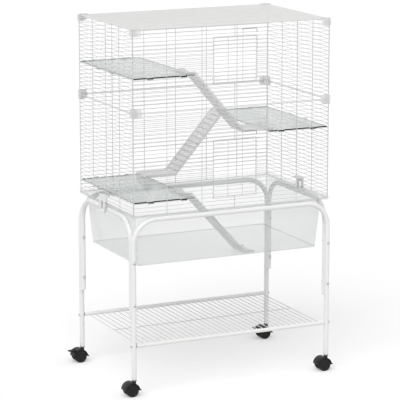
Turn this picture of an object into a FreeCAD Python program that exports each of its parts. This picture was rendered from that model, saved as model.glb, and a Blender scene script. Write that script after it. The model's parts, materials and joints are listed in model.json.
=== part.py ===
# A wire cage for small animals. Two tiers of wire walls stand in the rim of a deep clear basin,
# with clear decks and ramps inside, and the basin hangs in a stand of bent tubes with a wire shelf
# and four twin-wheel casters. Millimetres, X to the right, Y to the back and Z up from the floor,
# with the origin under the middle of the stand.

import FreeCAD
import Part
import Sketcher
import itertools
import math
import os
import re
from FreeCAD import Placement, Rotation, Vector

SIZES = {
    # wire walls and top
    "cage_width": 800,
    "cage_depth": 510,
    "wire_pitch": 15,
    "lower_rows": 25,
    "upper_rows": 20,
    "front_columns": 6,
    "side_columns": 4,
    "row_wire": 2,
    "post_wire": 2.5,
    "border_wire": 4,
    "panel_thickness": 3,
    # doors, their hinges and latches
    "door_width": 178,
    "door_offset": 8,
    "door_overlap": 5,
    "door_wire": 2.2,
    "door_border": 3,
    "door_columns": 3,
    "upper_door_low_row": 6,
    "upper_door_high_row": 17,
    "lower_door_low_row": 3,
    "lower_door_high_row": 17,
    "hinge_bar": 3.2,
    "hinge_play": 0.08,
    "bracket_wall": 1.5,
    "bracket_height": 8,
    "bracket_reach": 4,
    "latch_reach": 57,
    "latch_drop": 14,
    "latch_bar": 3,
    "latch_eye": 8,
    "latch_gap": 0.3,
    "latch_above_top": 23,
    "latch_tang": 3,
    "latch_pad": 9,
    "stud_diameter": 3,
    "stud_play": 0.05,
    "stud_head": 6,
    "stud_head_height": 1,
    # clips that hold the tiers together and caps on the top corners
    "corner_front": 37,
    "corner_side": 25,
    "corner_height": 34,
    "corner_wall": 3,
    "corner_block": 16,
    "corner_boss": 6,
    "boss_inset": 5,
    "cap_drop": 26,
    "cap_cover": 2.5,
    # decks
    "deck_reach": 243,
    "deck_thickness": 5,
    "deck_gap": 2,
    "tab_width": 24,
    "tab_lip": 3,
    "tab_drop": 4,
    "upper_deck_row": 8,
    "middle_deck_row": 18,
    "lower_deck_row": 3,
    # ramps
    "ramp_width": 97,
    "ramp_sheet": 4,
    "ramp_hook": 28,
    "ramp_edge_gap": 2,
    "ramp_landing": 104,
    "ramp_rest": 20,
    "basin_ramp_run": 220,
    "basin_ramp_foot": 42,
    "ramp_wall_gap": 10,
    "tread_pitch": 20,
    "tread_width": 5,
    "tread_height": 2,
    "ramp_curb": 4,
    "ramp_curb_height": 6,
    # basin and its side clips
    "seat_gap": 0.3,
    "basin_depth": 188,
    "basin_wall": 3,
    "basin_clearance": 6.5,
    "basin_taper": 16,
    "basin_corner": 10,
    "ledge_thickness": 4,
    "lip_height": 11,
    "lip_thickness": 3,
    "wall_gap": 0.3,
    "rim_corner": 5,
    "clip_width": 50,
    "clip_thickness": 4,
    "clip_barrel": 8,
    "clip_stand_off": 6.5,
    "clip_drop": 18,
    "clip_row": 2,
    "clip_hook_depth": 4,
    "clip_window_width": 22,
    "clip_window_height": 32,
    "clip_gap": 0.3,
    "clip_slot_gap": 0.5,
    "ear_thickness": 4,
    "ear_gap": 0.5,
    "ear_shoulder": 1,
    "pin_diameter": 3,
    "pin_play": 0.05,
    # stand
    "stand_height": 666,
    "tube_diameter": 19,
    "tube_wall": 1.2,
    "bend_radius": 90,
    "corner_gap": 0.3,
    "leg_inset": 3,
    "leg_joint_drop": 285,
    "spigot_length": 40,
    "spigot_play": 0.3,
    "side_leg_tail": 50,
    "upper_bolt_drop": 166,
    "lower_bolt_drop": 39,
    "bolt_diameter": 6,
    "bolt_play": 0.1,
    "bolt_head": 11,
    "bolt_head_height": 4,
    "nut_diameter": 10,
    "nut_height": 8,
    "nut_thread": 6,
    "leg_bottom": 60,
    # shelf
    "shelf_height": 187,
    "shelf_rail": 15,
    "shelf_gap": 0.3,
    "shelf_wire": 3,
    "shelf_pitch": 24,
    "shelf_inset": 14,
    "plug_length": 22,
    "plug_play": 0.1,
    # casters
    "socket_flange": 3,
    "socket_length": 45,
    "socket_play": 0.1,
    "stem_diameter": 8,
    "stem_play": 0.05,
    "stem_rise": 40,
    "stem_drop": 17,
    "collar_diameter": 13,
    "collar_height": 2,
    "swivel_gap": 0.3,
    "neck_wall": 3,
    "caster_offset": 14,
    "wheel_diameter": 48,
    "wheel_width": 15,
    "wheel_gap": 0.5,
    "wheel_bevel": 2,
    "wheel_dish": 1.5,
    "wheel_rim": 7,
    "wheel_cover": 3.5,
    "web_width": 15,
    "fender_gap": 2,
    "fender_wall": 2.5,
    "fender_lip": 5,
    "hub_diameter": 18,
    "axle_diameter": 6,
    "axle_play": 0.05,
    "axle_end_gap": 0.3,
    "pedal_length": 22,
    "pedal_thickness": 3,
    "pedal_width": 18,
    "pedal_barrel": 6.4,
    "pedal_gap": 0.5,
    "pedal_pin": 3,
    "pedal_play": 0.05,
    "pedal_ear": 3,
    "pedal_ear_gap": 0.4,
}

PLACES = {
    "half_width": "cage_width / 2",
    "half_depth": "cage_depth / 2",
    "inner_x": "half_width - panel_thickness",
    "inner_y": "half_depth - panel_thickness",
    "tube_radius": "tube_diameter / 2",
    "bore_radius": "tube_radius - tube_wall",
    "leg_x": "half_width",
    "leg_y": "half_depth - leg_inset",
    "inner_leg_y": "leg_y - tube_diameter - corner_gap",
    "rail_height": "stand_height - tube_radius",
    "leg_joint_height": "stand_height - leg_joint_drop",
    "upper_bolt_height": "stand_height - upper_bolt_drop",
    "lower_bolt_height": "leg_joint_height - lower_bolt_drop",
    "side_leg_end": "lower_bolt_height - side_leg_tail",
    "bolt_radius": "bolt_diameter / 2",
    "bolt_hole": "bolt_radius + bolt_play",
    "ledge_bottom": "stand_height + seat_gap",
    "ledge_top": "ledge_bottom + ledge_thickness",
    "lower_height": "lower_rows * wire_pitch + border_wire",
    "upper_height": "upper_rows * wire_pitch + border_wire",
    "tier_joint": "ledge_top + lower_height",
    "cage_top": "tier_joint + upper_height",
    "lower_row_start": "ledge_top + border_wire / 2",
    "upper_row_start": "tier_joint + border_wire / 2",
    "upper_deck_bottom": "upper_row_start + upper_deck_row * wire_pitch + row_wire / 2",
    "middle_deck_bottom": "lower_row_start + middle_deck_row * wire_pitch + row_wire / 2",
    "lower_deck_bottom": "lower_row_start + lower_deck_row * wire_pitch + row_wire / 2",
    "deck_outer": "inner_x - deck_gap",
    "deck_inner": "deck_outer - deck_reach",
    "ramp_run": "2 * deck_inner - ramp_edge_gap - ramp_landing",
    "basin_bottom": "ledge_bottom - basin_depth",
    "lip_x": "half_width + wall_gap",
    "lip_y": "half_depth + wall_gap",
    "bracket_radius": "hinge_bar / 2 + hinge_play + bracket_wall",
    "door_half": "door_width / 2",
    "hinge_x": "door_offset - door_half",
    "hinge_y": "half_depth + bracket_radius",
    "door_end": "door_offset + door_half",
    "door_face": "hinge_y + door_wire / 2",
    "latch_back": "door_face + latch_gap",
    "latch_front": "latch_back + door_wire",
    "latch_x": "door_end - door_width / door_columns",
    "upper_door_top": "upper_row_start + upper_door_high_row * wire_pitch + door_overlap",
    "lower_door_top": "lower_row_start + lower_door_high_row * wire_pitch + door_overlap",
    "clip_pivot_x": "leg_x + tube_radius + clip_stand_off",
    "clip_pivot_z": "stand_height - clip_drop",
    "clip_hook_bottom": "lower_row_start + clip_row * wire_pitch + row_wire / 2 + clip_gap",
    "ear_inner": "clip_width / 2 + ear_gap",
    "ear_outer": "ear_inner + ear_thickness",
    "rail_radius": "shelf_rail / 2",
    "rail_end": "leg_x - tube_radius - shelf_gap",
    "socket_bottom": "leg_bottom - socket_flange",
    "neck_top": "socket_bottom - collar_height - swivel_gap",
    "stem_radius": "stem_diameter / 2",
    "stem_bottom": "neck_top - stem_drop",
    "wheel_radius": "wheel_diameter / 2",
    "wheel_inner": "web_width / 2 + wheel_gap",
    "wheel_outer": "wheel_inner + wheel_width",
    "axle_radius": "axle_diameter / 2",
    "axle_end": "wheel_outer - wheel_dish - wheel_cover - axle_end_gap",
    "well_radius": "wheel_radius + fender_gap",
    "fender_radius": "well_radius + fender_wall",
    "hood_side": "wheel_outer + wheel_gap",
    "pedal_swing": "fender_radius + pedal_gap + pedal_barrel / 2",
    "pedal_x": "-(caster_offset + pedal_swing * cos(45))",
    "pedal_z": "wheel_radius + pedal_swing * sin(45)",
    "pedal_ear_inner": "pedal_width / 2 + pedal_ear_gap",
    "pedal_ear_outer": "pedal_ear_inner + pedal_ear",
}

CORNERS = {
    "front_left": (-1, -1),
    "front_right": (1, -1),
    "back_left": (-1, 1),
    "back_right": (1, 1),
}

ALONG = {
    "x": Rotation(Vector(0, 1, 0), 90),
    "y": Rotation(Vector(1, 0, 0), -90),
    "z": Rotation(),
}

doc = FreeCAD.newDocument("SmallAnimalCage")
nodes = []


# The two sheets: driving sizes, and the places worked out from them.

def formula(text, home=""):
    """Points each size or place named in text at its cell, from a cell of the sheet home or from outside."""
    def cell(match):
        word = match.group()
        owner = "Sizes" if word in SIZES else "Places" if word in PLACES else ""
        return word if owner in ("", home) else f"{owner}.{word}"
    return re.sub(r"[a-z][a-z_]*", cell, text)


sizes = doc.addObject("Spreadsheet::Sheet", "Sizes")
for row, (name, number) in enumerate(SIZES.items(), 1):
    sizes.set(f"A{row}", name)
    sizes.set(f"B{row}", str(number))
    sizes.setAlias(f"B{row}", name)
doc.recompute()
places = doc.addObject("Spreadsheet::Sheet", "Places")
for row, (name, text) in enumerate(PLACES.items(), 1):
    places.set(f"A{row}", name)
    places.set(f"B{row}", "=" + formula(text, "Places"))
    places.setAlias(f"B{row}", name)
doc.recompute()


def value(name):
    """The number in the cell of one size or place."""
    sheet = sizes if name in SIZES else places
    return float(sheet.get(name))


def count(name):
    return int(round(value(name)))


# Ways to make and join pieces.

def bind(piece, prop, text):
    piece.setExpression(prop, formula(text))


def settle(piece, turn=None, **at):
    """Turns a piece and ties its place to formulas."""
    piece.Placement = Placement(Vector(), turn or Rotation())
    for letter, text in at.items():
        bind(piece, "Placement.Base." + letter, text)
    return piece


def box(name, x, y, z):
    """A block between a low and a high limit along each axis."""
    block = doc.addObject("Part::Box", name)
    for prop, letter, (low, high) in zip(("Length", "Width", "Height"), "xyz", (x, y, z)):
        bind(block, prop, f"({high}) - ({low})")
        bind(block, "Placement.Base." + letter, low)
    return block


def rod(name, radius, axis, limits, **centre):
    """A round bar along one axis between two limits."""
    bar = doc.addObject("Part::Cylinder", name)
    low, high = limits
    bind(bar, "Radius", radius)
    bind(bar, "Height", f"({high}) - ({low})")
    return settle(bar, ALONG[axis], **{axis: low}, **centre)


def both(text):
    """Limits at the same distance either side of the middle."""
    return f"-({text})", text


def beside(sign, near, far):
    """Limits from near to far on one side of the middle."""
    return (near, far) if sign > 0 else (f"-({far})", f"-({near})")


def group(name, pieces):
    bunch = doc.addObject("Part::Compound", name)
    bunch.Links = pieces
    return bunch


def fuse(name, pieces):
    whole = doc.addObject("Part::MultiFuse", name)
    whole.Shapes = pieces
    whole.Refine = True
    return whole


def cut(name, piece, tools):
    rest = doc.addObject("Part::Cut", name)
    rest.Base = piece
    rest.Tool = tools[0] if len(tools) == 1 else group(name + "_tools", tools)
    return rest


def placed(name, master, turn=None, **at):
    """A further copy of a piece that is made once."""
    copy = doc.addObject("App::Link", name)
    copy.LinkedObject = master
    return settle(copy, turn, **at)


def shaped(name, shape):
    piece = doc.addObject("Part::Feature", name)
    piece.Shape = shape
    return piece


def turned(name, plane, points):
    """A body turned about the sketch's upright axis, from the radius and height of each outline point."""
    body = doc.addObject("PartDesign::Body", name)
    sketch = body.newObject("Sketcher::SketchObject", name + "_outline")
    support = next(feature for feature in body.Origin.OriginFeatures if feature.Role == plane)
    sketch.AttachmentSupport = [(support, "")]
    sketch.MapMode = "FlatFace"
    spots = [Vector(*(float(places.evalExpression(formula(text))) for text in point)) for point in points]
    following = [*range(1, len(spots)), 0]
    for index, after in enumerate(following):
        sketch.addGeometry(Part.LineSegment(spots[index], spots[after]))
    for index, after in enumerate(following):
        sketch.addConstraint(Sketcher.Constraint("Coincident", index, 2, after, 1))
    for index, point in enumerate(points):
        for kind, axis, text, reach in zip(("DistanceX", "DistanceY"), (-2, -1), point, spots[index]):
            if text == "0":
                sketch.addConstraint(Sketcher.Constraint("PointOnObject", index, 1, axis))
            else:
                rule = sketch.addConstraint(Sketcher.Constraint(kind, -1, 1, index, 1, reach))
                bind(sketch, f"Constraints[{rule}]", text)
    turning = body.newObject("PartDesign::Revolution", name + "_turning")
    turning.Profile = sketch
    turning.ReferenceAxis = (sketch, ["V_Axis"])
    turning.Angle = 360
    return body


def keep(name, piece):
    """Makes a piece one of the parts of the cage, under its own name."""
    piece.Label = name
    nodes.append(piece)


# Stand: two wide arches in front and behind, two narrow arches inside them at the sides.

def arch_form(radius, half_span, leg_end):
    """A solid bar bent into an upside-down U across X."""
    rail = value("rail_height")
    bend = value("bend_radius")
    chord = bend * (1 - math.sqrt(0.5))
    left = [(-half_span, leg_end), (-half_span, rail - bend), (chord - half_span, rail - chord),
            (bend - half_span, rail)]
    points = [Vector(x, 0, z) for x, z in left] + [Vector(-x, 0, z) for x, z in reversed(left)]
    path = Part.Wire([
        Part.makeLine(*points[0:2]),
        Part.Arc(*points[1:4]).toShape(),
        Part.makeLine(*points[3:5]),
        Part.Arc(*points[4:7]).toShape(),
        Part.makeLine(*points[6:8]),
    ])
    ring = Part.Wire([Part.makeCircle(radius, points[0], Vector(0, 0, 1))])
    return path.makePipeShell([ring], True, False)


def arch(name, half_span, leg_end, bolt_heights, turn=None, **at):
    """A bent tube with a bolt hole across each leg at each height."""
    bar = arch_form(value("tube_radius"), value(half_span), value(leg_end))
    bore = arch_form(value("bore_radius"), value(half_span), value(leg_end))
    tube = settle(shaped(name + "_tube", bar.cut(bore)), turn, **at)
    holes = []
    for height, side, end in itertools.product(bolt_heights, (-1, 1), (-1, 1)):
        span = beside(end, "inner_leg_y - tube_diameter", "leg_y + tube_diameter")
        holes.append(rod(name + "_hole", "bolt_hole", "y", span, x=f"{side} * leg_x", z=height))
    keep(name, cut(name, tube, holes))


bolt_heights = ("upper_bolt_height", "lower_bolt_height")
sideways = Rotation(Vector(0, 0, 1), 90)
arch("front_arch", "leg_x", "leg_joint_height", bolt_heights[:1], y="-leg_y")
arch("back_arch", "leg_x", "leg_joint_height", bolt_heights[:1], y="leg_y")
arch("left_arch", "inner_leg_y", "side_leg_end", bolt_heights, sideways, x="-leg_x")
arch("right_arch", "inner_leg_y", "side_leg_end", bolt_heights, sideways, x="leg_x")

# Lower legs: tubes with a drawn-in spigot that plugs into the wide arches from below.

spigot = "bore_radius - spigot_play"
leg_tube = turned("leg_tube", "XZ_Plane", [
    ("bore_radius", "leg_bottom"),
    ("tube_radius", "leg_bottom"),
    ("tube_radius", "leg_joint_height"),
    (spigot, "leg_joint_height"),
    (spigot, "leg_joint_height + spigot_length"),
    (f"{spigot} - tube_wall", "leg_joint_height + spigot_length"),
    (f"{spigot} - tube_wall", "leg_joint_height - tube_wall"),
    ("bore_radius", "leg_joint_height - 2 * tube_wall"),
])
for corner, (side, end) in CORNERS.items():
    stock = placed(corner + "_leg_stock", leg_tube, x=f"{side} * leg_x", y=f"{end} * leg_y")
    through_y = beside(end, "inner_leg_y", "leg_y + tube_diameter")
    through_x = beside(side, "rail_end", "leg_x + tube_diameter")
    bolt_hole = rod(corner + "_leg_bolt_hole", "bolt_hole", "y", through_y,
                    x=f"{side} * leg_x", z="lower_bolt_height")
    shelf_hole = rod(corner + "_leg_shelf_hole", "bolt_hole", "x", through_x,
                     y=f"{end} * leg_y", z="shelf_height")
    keep(corner + "_leg", cut(corner + "_leg", stock, [bolt_hole, shelf_hole]))

# Frame bolts and cap nuts: two at each corner, through a wide leg and the side arch's leg behind it.

bolt_grip = "2 * tube_diameter + corner_gap"
frame_bolt = turned("frame_bolt", "XZ_Plane", [
    ("0", "-bolt_head_height"),
    ("bolt_head / 4", "-bolt_head_height"),
    ("bolt_head / 2", "-bolt_head_height / 3"),
    ("bolt_head / 2", "0"),
    ("bolt_radius", "0"),
    ("bolt_radius", f"{bolt_grip} + nut_thread - bolt_play"),
    ("0", f"{bolt_grip} + nut_thread - bolt_play"),
])
cap_nut = turned("cap_nut", "XZ_Plane", [
    ("bolt_hole", "0"),
    ("nut_diameter / 2", "0"),
    ("nut_diameter / 2", "nut_height / 2"),
    ("nut_diameter / 4", "nut_height"),
    ("0", "nut_height"),
    ("0", "nut_thread"),
    ("bolt_hole", "nut_thread"),
])
bolts = []
nuts = []
for (corner, (side, end)), height in itertools.product(CORNERS.items(), bolt_heights):
    inward = Rotation(Vector(1, 0, 0), 90 * end)
    at = {"x": f"{side} * leg_x", "z": height}
    bolts.append(placed(corner + "_bolt", frame_bolt, inward, y=f"{end} * (leg_y + tube_radius)", **at))
    nuts.append(placed(corner + "_nut", cap_nut, inward, y=f"{end} * (inner_leg_y - tube_radius)", **at))
keep("frame_bolts", group("frame_bolts", bolts))
keep("frame_nuts", group("frame_nuts", nuts))

# Shelf: two tube rails between the legs with wires welded across, held by a bolt and a plug at each end.

def gaps(low, high, wires, border, wire, shift=0):
    """The open stretches between even wires, with a border strip at each end; shift moves the middle ones."""
    step = (high - low - border) / wires
    shifted = range(wires // 3, wires - wires // 3 + 1) if shift else ()
    centres = [low + border / 2 + index * step + (shift if index in shifted else 0)
               for index in range(wires + 1)]
    halves = [border / 2] + [wire / 2] * (wires - 1) + [border / 2]
    edges = list(zip(centres, halves))
    return [(a + half, b - other) for (a, half), (b, other) in zip(edges, edges[1:])]


def plate(at, outline, holes, thickness):
    """A flat sheet with rectangular holes; at turns the two flat coordinates into a point."""
    def ring(left, right, low, high):
        loop = [(left, low), (right, low), (right, high), (left, high), (left, low)]
        return Part.makePolygon([at(*point) for point in loop])
    rings = [ring(*limits) for limits in [outline, *holes]]
    return Part.makeFace(rings, "Part::FaceMakerBullseye").extrude(thickness)


def cells(columns, rows):
    return [(*column, *row) for column, row in itertools.product(columns, rows)]


shelf_wire = value("shelf_wire")
shelf_x = value("rail_end") - value("shelf_inset")
rail_wall_middle = value("rail_radius") - value("tube_wall") / 2
shelf_y = value("leg_y") - math.sqrt(rail_wall_middle ** 2 - (shelf_wire / 2) ** 2)
shelf_wires = round(2 * shelf_x / value("shelf_pitch"))
shelf_floor = value("shelf_height") - shelf_wire / 2
shelf_grid = plate(
    lambda x, y: Vector(x, y, shelf_floor),
    (-shelf_x, shelf_x, -shelf_y, shelf_y),
    cells(gaps(-shelf_x, shelf_x, shelf_wires, shelf_wire, shelf_wire),
          gaps(-shelf_y, shelf_y, 2, shelf_wire, shelf_wire)),
    Vector(0, 0, shelf_wire))
rails = []
plugs = []
shelf_bolts = []
rail_bore = "rail_radius - tube_wall"
shelf_bolt = turned("shelf_bolt", "XZ_Plane", [
    ("0", "-bolt_head_height"),
    ("bolt_head / 4", "-bolt_head_height"),
    ("bolt_head / 2", "-bolt_head_height / 3"),
    ("bolt_head / 2", "0"),
    ("bolt_radius", "0"),
    ("bolt_radius", "tube_diameter + shelf_gap + plug_length"),
    ("0", "tube_diameter + shelf_gap + plug_length"),
])
for end in (-1, 1):
    at = {"y": f"{end} * leg_y", "z": "shelf_height"}
    bar = rod("shelf_rail_bar", "rail_radius", "x", both("rail_end"), **at)
    bore = rod("shelf_rail_bore", rail_bore, "x", both("rail_end + tube_wall"), **at)
    rails.append(cut("shelf_rail_tube", bar, [bore]))
    for side in (-1, 1):
        span = beside(side, "rail_end - plug_length", "rail_end")
        through = beside(side, "rail_end - plug_length - tube_wall", "leg_x")
        plug = rod("plug_bar", f"{rail_bore} - plug_play", "x", span, **at)
        thread = rod("plug_thread", "bolt_hole", "x", through, **at)
        plugs.append(cut("plug", plug, [thread]))
        inward = Rotation(Vector(0, 1, 0), -90 * side)
        head_x = f"{side} * (leg_x + tube_radius)"
        shelf_bolts.append(placed("shelf_bolt_copy", shelf_bolt, inward, x=head_x, **at))
keep("shelf", fuse("shelf", [*rails, shaped("shelf_grid", shelf_grid)]))
keep("shelf_plugs", group("shelf_plugs", plugs))
keep("shelf_bolts", group("shelf_bolts", shelf_bolts))

# Caster sockets and stems: a plastic plug in each leg's end, gripping a collared steel stem.

leg_socket = turned("leg_socket", "XZ_Plane", [
    ("stem_radius + stem_play", "socket_bottom"),
    ("tube_radius", "socket_bottom"),
    ("tube_radius", "leg_bottom"),
    ("bore_radius - socket_play", "leg_bottom"),
    ("bore_radius - socket_play", "leg_bottom + socket_length"),
    ("stem_radius + stem_play", "leg_bottom + socket_length"),
])
caster_stem = turned("caster_stem", "XZ_Plane", [
    ("0", "stem_bottom"),
    ("stem_radius", "stem_bottom"),
    ("stem_radius", "neck_top + swivel_gap"),
    ("collar_diameter / 2", "neck_top + swivel_gap"),
    ("collar_diameter / 2", "socket_bottom"),
    ("stem_radius", "socket_bottom"),
    ("stem_radius", "socket_bottom + stem_rise"),
    ("0", "socket_bottom + stem_rise"),
])
for name, master in (("leg_sockets", leg_socket), ("caster_stems", caster_stem)):
    copies = [placed(f"{corner}_{name}", master, x=f"{side} * leg_x", y=f"{end} * leg_y")
              for corner, (side, end) in CORNERS.items()]
    keep(name, group(name, copies))

# Casters: a hood that swivels on the stem, with a fixed axle and a wheel either side of its web.
# The hoods behind carry a brake pedal between two ears.

caster_wheel = turned("caster_wheel", "XY_Plane", [
    ("axle_radius + axle_play", "wheel_inner"),
    ("wheel_radius - wheel_bevel", "wheel_inner"),
    ("wheel_radius", "wheel_inner + wheel_bevel"),
    ("wheel_radius", "wheel_outer - wheel_bevel"),
    ("wheel_radius - wheel_bevel", "wheel_outer"),
    ("wheel_radius - wheel_rim", "wheel_outer"),
    ("wheel_radius - wheel_rim - wheel_dish", "wheel_outer - wheel_dish"),
    ("0", "wheel_outer - wheel_dish"),
    ("0", "wheel_outer - wheel_dish - wheel_cover"),
    ("axle_radius + axle_play", "wheel_outer - wheel_dish - wheel_cover"),
])


def hood(name, braked, x, y):
    """A half drum over the wheels with a neck round the stem, hollowed out to a web between the wheels."""
    wheel_x = f"{x} - caster_offset"
    drum = doc.addObject("Part::Cylinder", name + "_drum")
    drum.Angle = 180
    bind(drum, "Radius", "fender_radius")
    bind(drum, "Height", "2 * hood_side")
    settle(drum, Rotation(Vector(1, 0, 0), 90), x=wheel_x, y=f"{y} + hood_side", z="wheel_radius")
    web = (f"{y} - web_width / 2", f"{y} + web_width / 2")
    stem_hole = "stem_radius + stem_play"
    solids = [
        drum,
        rod(name + "_hub", "hub_diameter / 2", "y", web, x=wheel_x, z="wheel_radius"),
        rod(name + "_neck", f"{stem_hole} + neck_wall", "z", ("stem_bottom", "neck_top"), x=x, y=y),
        box(name + "_lip", (f"{wheel_x} + well_radius", f"{wheel_x} + fender_radius + fender_lip"),
            (f"{y} - hood_side", f"{y} + hood_side"), ("wheel_radius", "wheel_radius + fender_wall")),
    ]
    hollows = [
        rod(name + "_axle_hole", "axle_radius + axle_play", "y", (f"{y} - hood_side", f"{y} + hood_side"),
            x=wheel_x, z="wheel_radius"),
        rod(name + "_stem_hole", stem_hole, "z", ("stem_bottom - stem_play", "leg_bottom"), x=x, y=y),
    ]
    for end in (-1, 1):
        low, high = beside(end, "web_width / 2", "hood_side + fender_wall")
        hollows.append(rod(name + "_well", "well_radius", "y", (f"{y} + {low}", f"{y} + {high}"),
                           x=wheel_x, z="wheel_radius"))
        if braked:
            low, high = beside(end, "pedal_ear_inner", "pedal_ear_outer")
            ear_x = (f"{x} + pedal_x - pedal_barrel / 2", f"{wheel_x} - wheel_radius / 2")
            ear_z = ("wheel_radius + wheel_radius / 2", "pedal_z + pedal_barrel / 2")
            solids.append(box(name + "_ear", ear_x, (f"{y} + {low}", f"{y} + {high}"), ear_z))
            hollows.append(rod(name + "_ear_hole", "pedal_pin / 2 + pedal_play", "y",
                               (f"{y} + {low} - pedal_play", f"{y} + {high} + pedal_play"),
                               x=f"{x} + pedal_x", z="pedal_z"))
    keep(name, cut(name, fuse(name + "_solid", solids), hollows))


def brake(name, x, y):
    """A foot pedal on a barrel, with a stub pin at each end of the barrel."""
    pivot = {"x": f"{x} + pedal_x", "z": "pedal_z"}
    across = (f"{y} - pedal_width / 2", f"{y} + pedal_width / 2")
    pin = (f"{y} - pedal_ear_outer", f"{y} + pedal_ear_outer")
    keep(name, fuse(name, [
        rod(name + "_barrel", "pedal_barrel / 2", "y", across, **pivot),
        rod(name + "_pin", "pedal_pin / 2", "y", pin, **pivot),
        box(name + "_pad", (f"{x} + pedal_x - pedal_length", f"{x} + pedal_x"), across,
            ("pedal_z - pedal_thickness / 2", "pedal_z + pedal_thickness / 2")),
    ]))


for corner, (side, end) in CORNERS.items():
    x = f"{side} * leg_x"
    y = f"{end} * leg_y"
    at = {"x": f"{x} - caster_offset", "y": y, "z": "wheel_radius"}
    hood(corner + "_hood", end > 0, x, y)
    axle = rod(corner + "_axle", "axle_radius", "y", (f"{y} - axle_end", f"{y} + axle_end"),
               x=at["x"], z=at["z"])
    keep(corner + "_axle", axle)
    pair = [placed(corner + "_wheel", caster_wheel, Rotation(Vector(0, 0, 1), turn), **at)
            for turn in (0, 180)]
    keep(corner + "_wheels", group(corner + "_wheels", pair))
    if end > 0:
        brake(corner + "_brake", x, y)

# Basin: a deep tub that hangs in the stand by a ledge, with an upright lip round the wire walls
# and a pair of ears over each side rail for a clip.

def rounded(half_x, half_y, radius, height):
    """A rectangle with rounded corners, flat at one height."""
    x = half_x - radius
    y = half_y - radius
    edges = []
    for turn, (a, b) in enumerate(((x, y), (-x, y), (-x, -y), (x, -y))):
        start = math.radians(90 * turn)
        points = [Vector(a + radius * math.cos(start + bit), b + radius * math.sin(start + bit), height)
                  for bit in (0, math.pi / 4, math.pi / 2)]
        edges.append(Part.Arc(*points).toShape())
    corners = list(zip(edges, edges[1:] + edges[:1]))
    sides = [Part.makeLine(a.Vertexes[-1].Point, b.Vertexes[0].Point) for a, b in corners]
    return Part.Wire([edge for pair in zip(edges, sides) for edge in pair])


def slab(half_x, half_y, radius, low, high):
    return Part.Face(rounded(half_x, half_y, radius, low)).extrude(Vector(0, 0, high - low))


basin_bottom = value("basin_bottom")
basin_wall = value("basin_wall")
basin_corner = value("basin_corner")
ledge_top = value("ledge_top")
tub_x = value("leg_x") - value("tube_radius") - value("basin_clearance")
tub_y = value("leg_y") - value("tube_radius") - value("basin_clearance")
tub_slope = value("basin_taper") / (ledge_top - basin_bottom)


def tub(inset, bottom, top):
    """The tapered form of the tub, set in from its outside."""
    def section(height):
        lean = tub_slope * (ledge_top - height) + inset
        return rounded(tub_x - lean, tub_y - lean, basin_corner - inset, height)
    return Part.makeLoft([section(bottom), section(top)], True, True)


lip_x = value("lip_x")
lip_y = value("lip_y")
lip_top = ledge_top + value("lip_height")
lip_thickness = value("lip_thickness")
rim_corner = value("rim_corner")
rim = slab(lip_x + lip_thickness, lip_y + lip_thickness, rim_corner, value("ledge_bottom"), lip_top)
seat = Part.makeBox(2 * lip_x, 2 * lip_y, value("lip_height"), Vector(-lip_x, -lip_y, ledge_top))
hollow = tub(basin_wall, basin_bottom + basin_wall, lip_top)
pivot_x = value("clip_pivot_x")
pivot_z = value("clip_pivot_z")
ear_radius = value("clip_barrel") / 2
ear_root = pivot_x - ear_radius - value("ear_shoulder")
ear_steps = [
    (lip_x + lip_thickness / 2, value("ledge_bottom")),
    (ear_root, value("ledge_bottom")),
    (ear_root, pivot_z - ear_radius),
    (pivot_x + ear_radius, pivot_z - ear_radius),
    (pivot_x + ear_radius, value("ledge_bottom")),
    (lip_x + lip_thickness, lip_top),
    (lip_x + lip_thickness / 2, lip_top),
]
basin_shape = tub(0, basin_bottom, ledge_top).fuse(rim).cut(seat)
for side, end in itertools.product((-1, 1), (-1, 1)):
    near = min(end * value("ear_inner"), end * value("ear_outer"))
    corners = [Vector(side * x, near, z) for x, z in ear_steps + ear_steps[:1]]
    ear = Part.Face(Part.makePolygon(corners)).extrude(Vector(0, value("ear_thickness"), 0))
    hole = Part.makeCylinder(value("pin_diameter") / 2 + value("pin_play"), value("ear_thickness"),
                             Vector(side * pivot_x, near, pivot_z), Vector(0, 1, 0))
    basin_shape = basin_shape.fuse(ear.cut(hole))
keep("basin", shaped("basin", basin_shape.cut(hollow).removeSplitter()))

# Side clips: spring plates on a pin between the basin's ears, hooked over a wire of the side wall
# with a finger either side of its middle post.

pins = []
for name, side in (("left_clip", -1), ("right_clip", 1)):
    pivot = {"x": f"{side} * clip_pivot_x", "z": "clip_pivot_z"}
    wide = both("clip_width / 2")
    outer = "clip_pivot_x + clip_thickness / 2"
    inner = "clip_pivot_x - clip_thickness / 2"
    hook_top = "clip_hook_bottom + clip_thickness"
    hook_tip = "inner_x - clip_hook_depth"
    window_low = "clip_pivot_z + clip_barrel"
    strap = fuse(name + "_strap", [
        rod(name + "_barrel", "clip_barrel / 2", "y", wide, **pivot),
        box(name + "_plate", beside(side, inner, outer), wide, ("clip_pivot_z", hook_top)),
        box(name + "_hook", beside(side, hook_tip, outer), wide, ("clip_hook_bottom", hook_top)),
    ])
    slot = box(name + "_slot", beside(side, f"{hook_tip} - clip_slot_gap", "half_width + clip_slot_gap"),
               both("post_wire / 2 + clip_slot_gap"),
               ("clip_hook_bottom - clip_slot_gap", f"{hook_top} + clip_slot_gap"))
    window = box(name + "_window", beside(side, f"{inner} - clip_barrel", f"{outer} + clip_barrel"),
                 both("clip_window_width / 2"), (window_low, f"{window_low} + clip_window_height"))
    bore = rod(name + "_bore", "pin_diameter / 2 + pin_play", "y", wide, **pivot)
    keep(name, cut(name, strap, [window, slot, bore]))
    pins.append(rod(name + "_pin", "pin_diameter / 2", "y", both("ear_outer"), **pivot))
keep("clip_pins", group("clip_pins", pins))

# Wire walls and top: each a flat net of welded wires. The front walls have a framed doorway.

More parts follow.
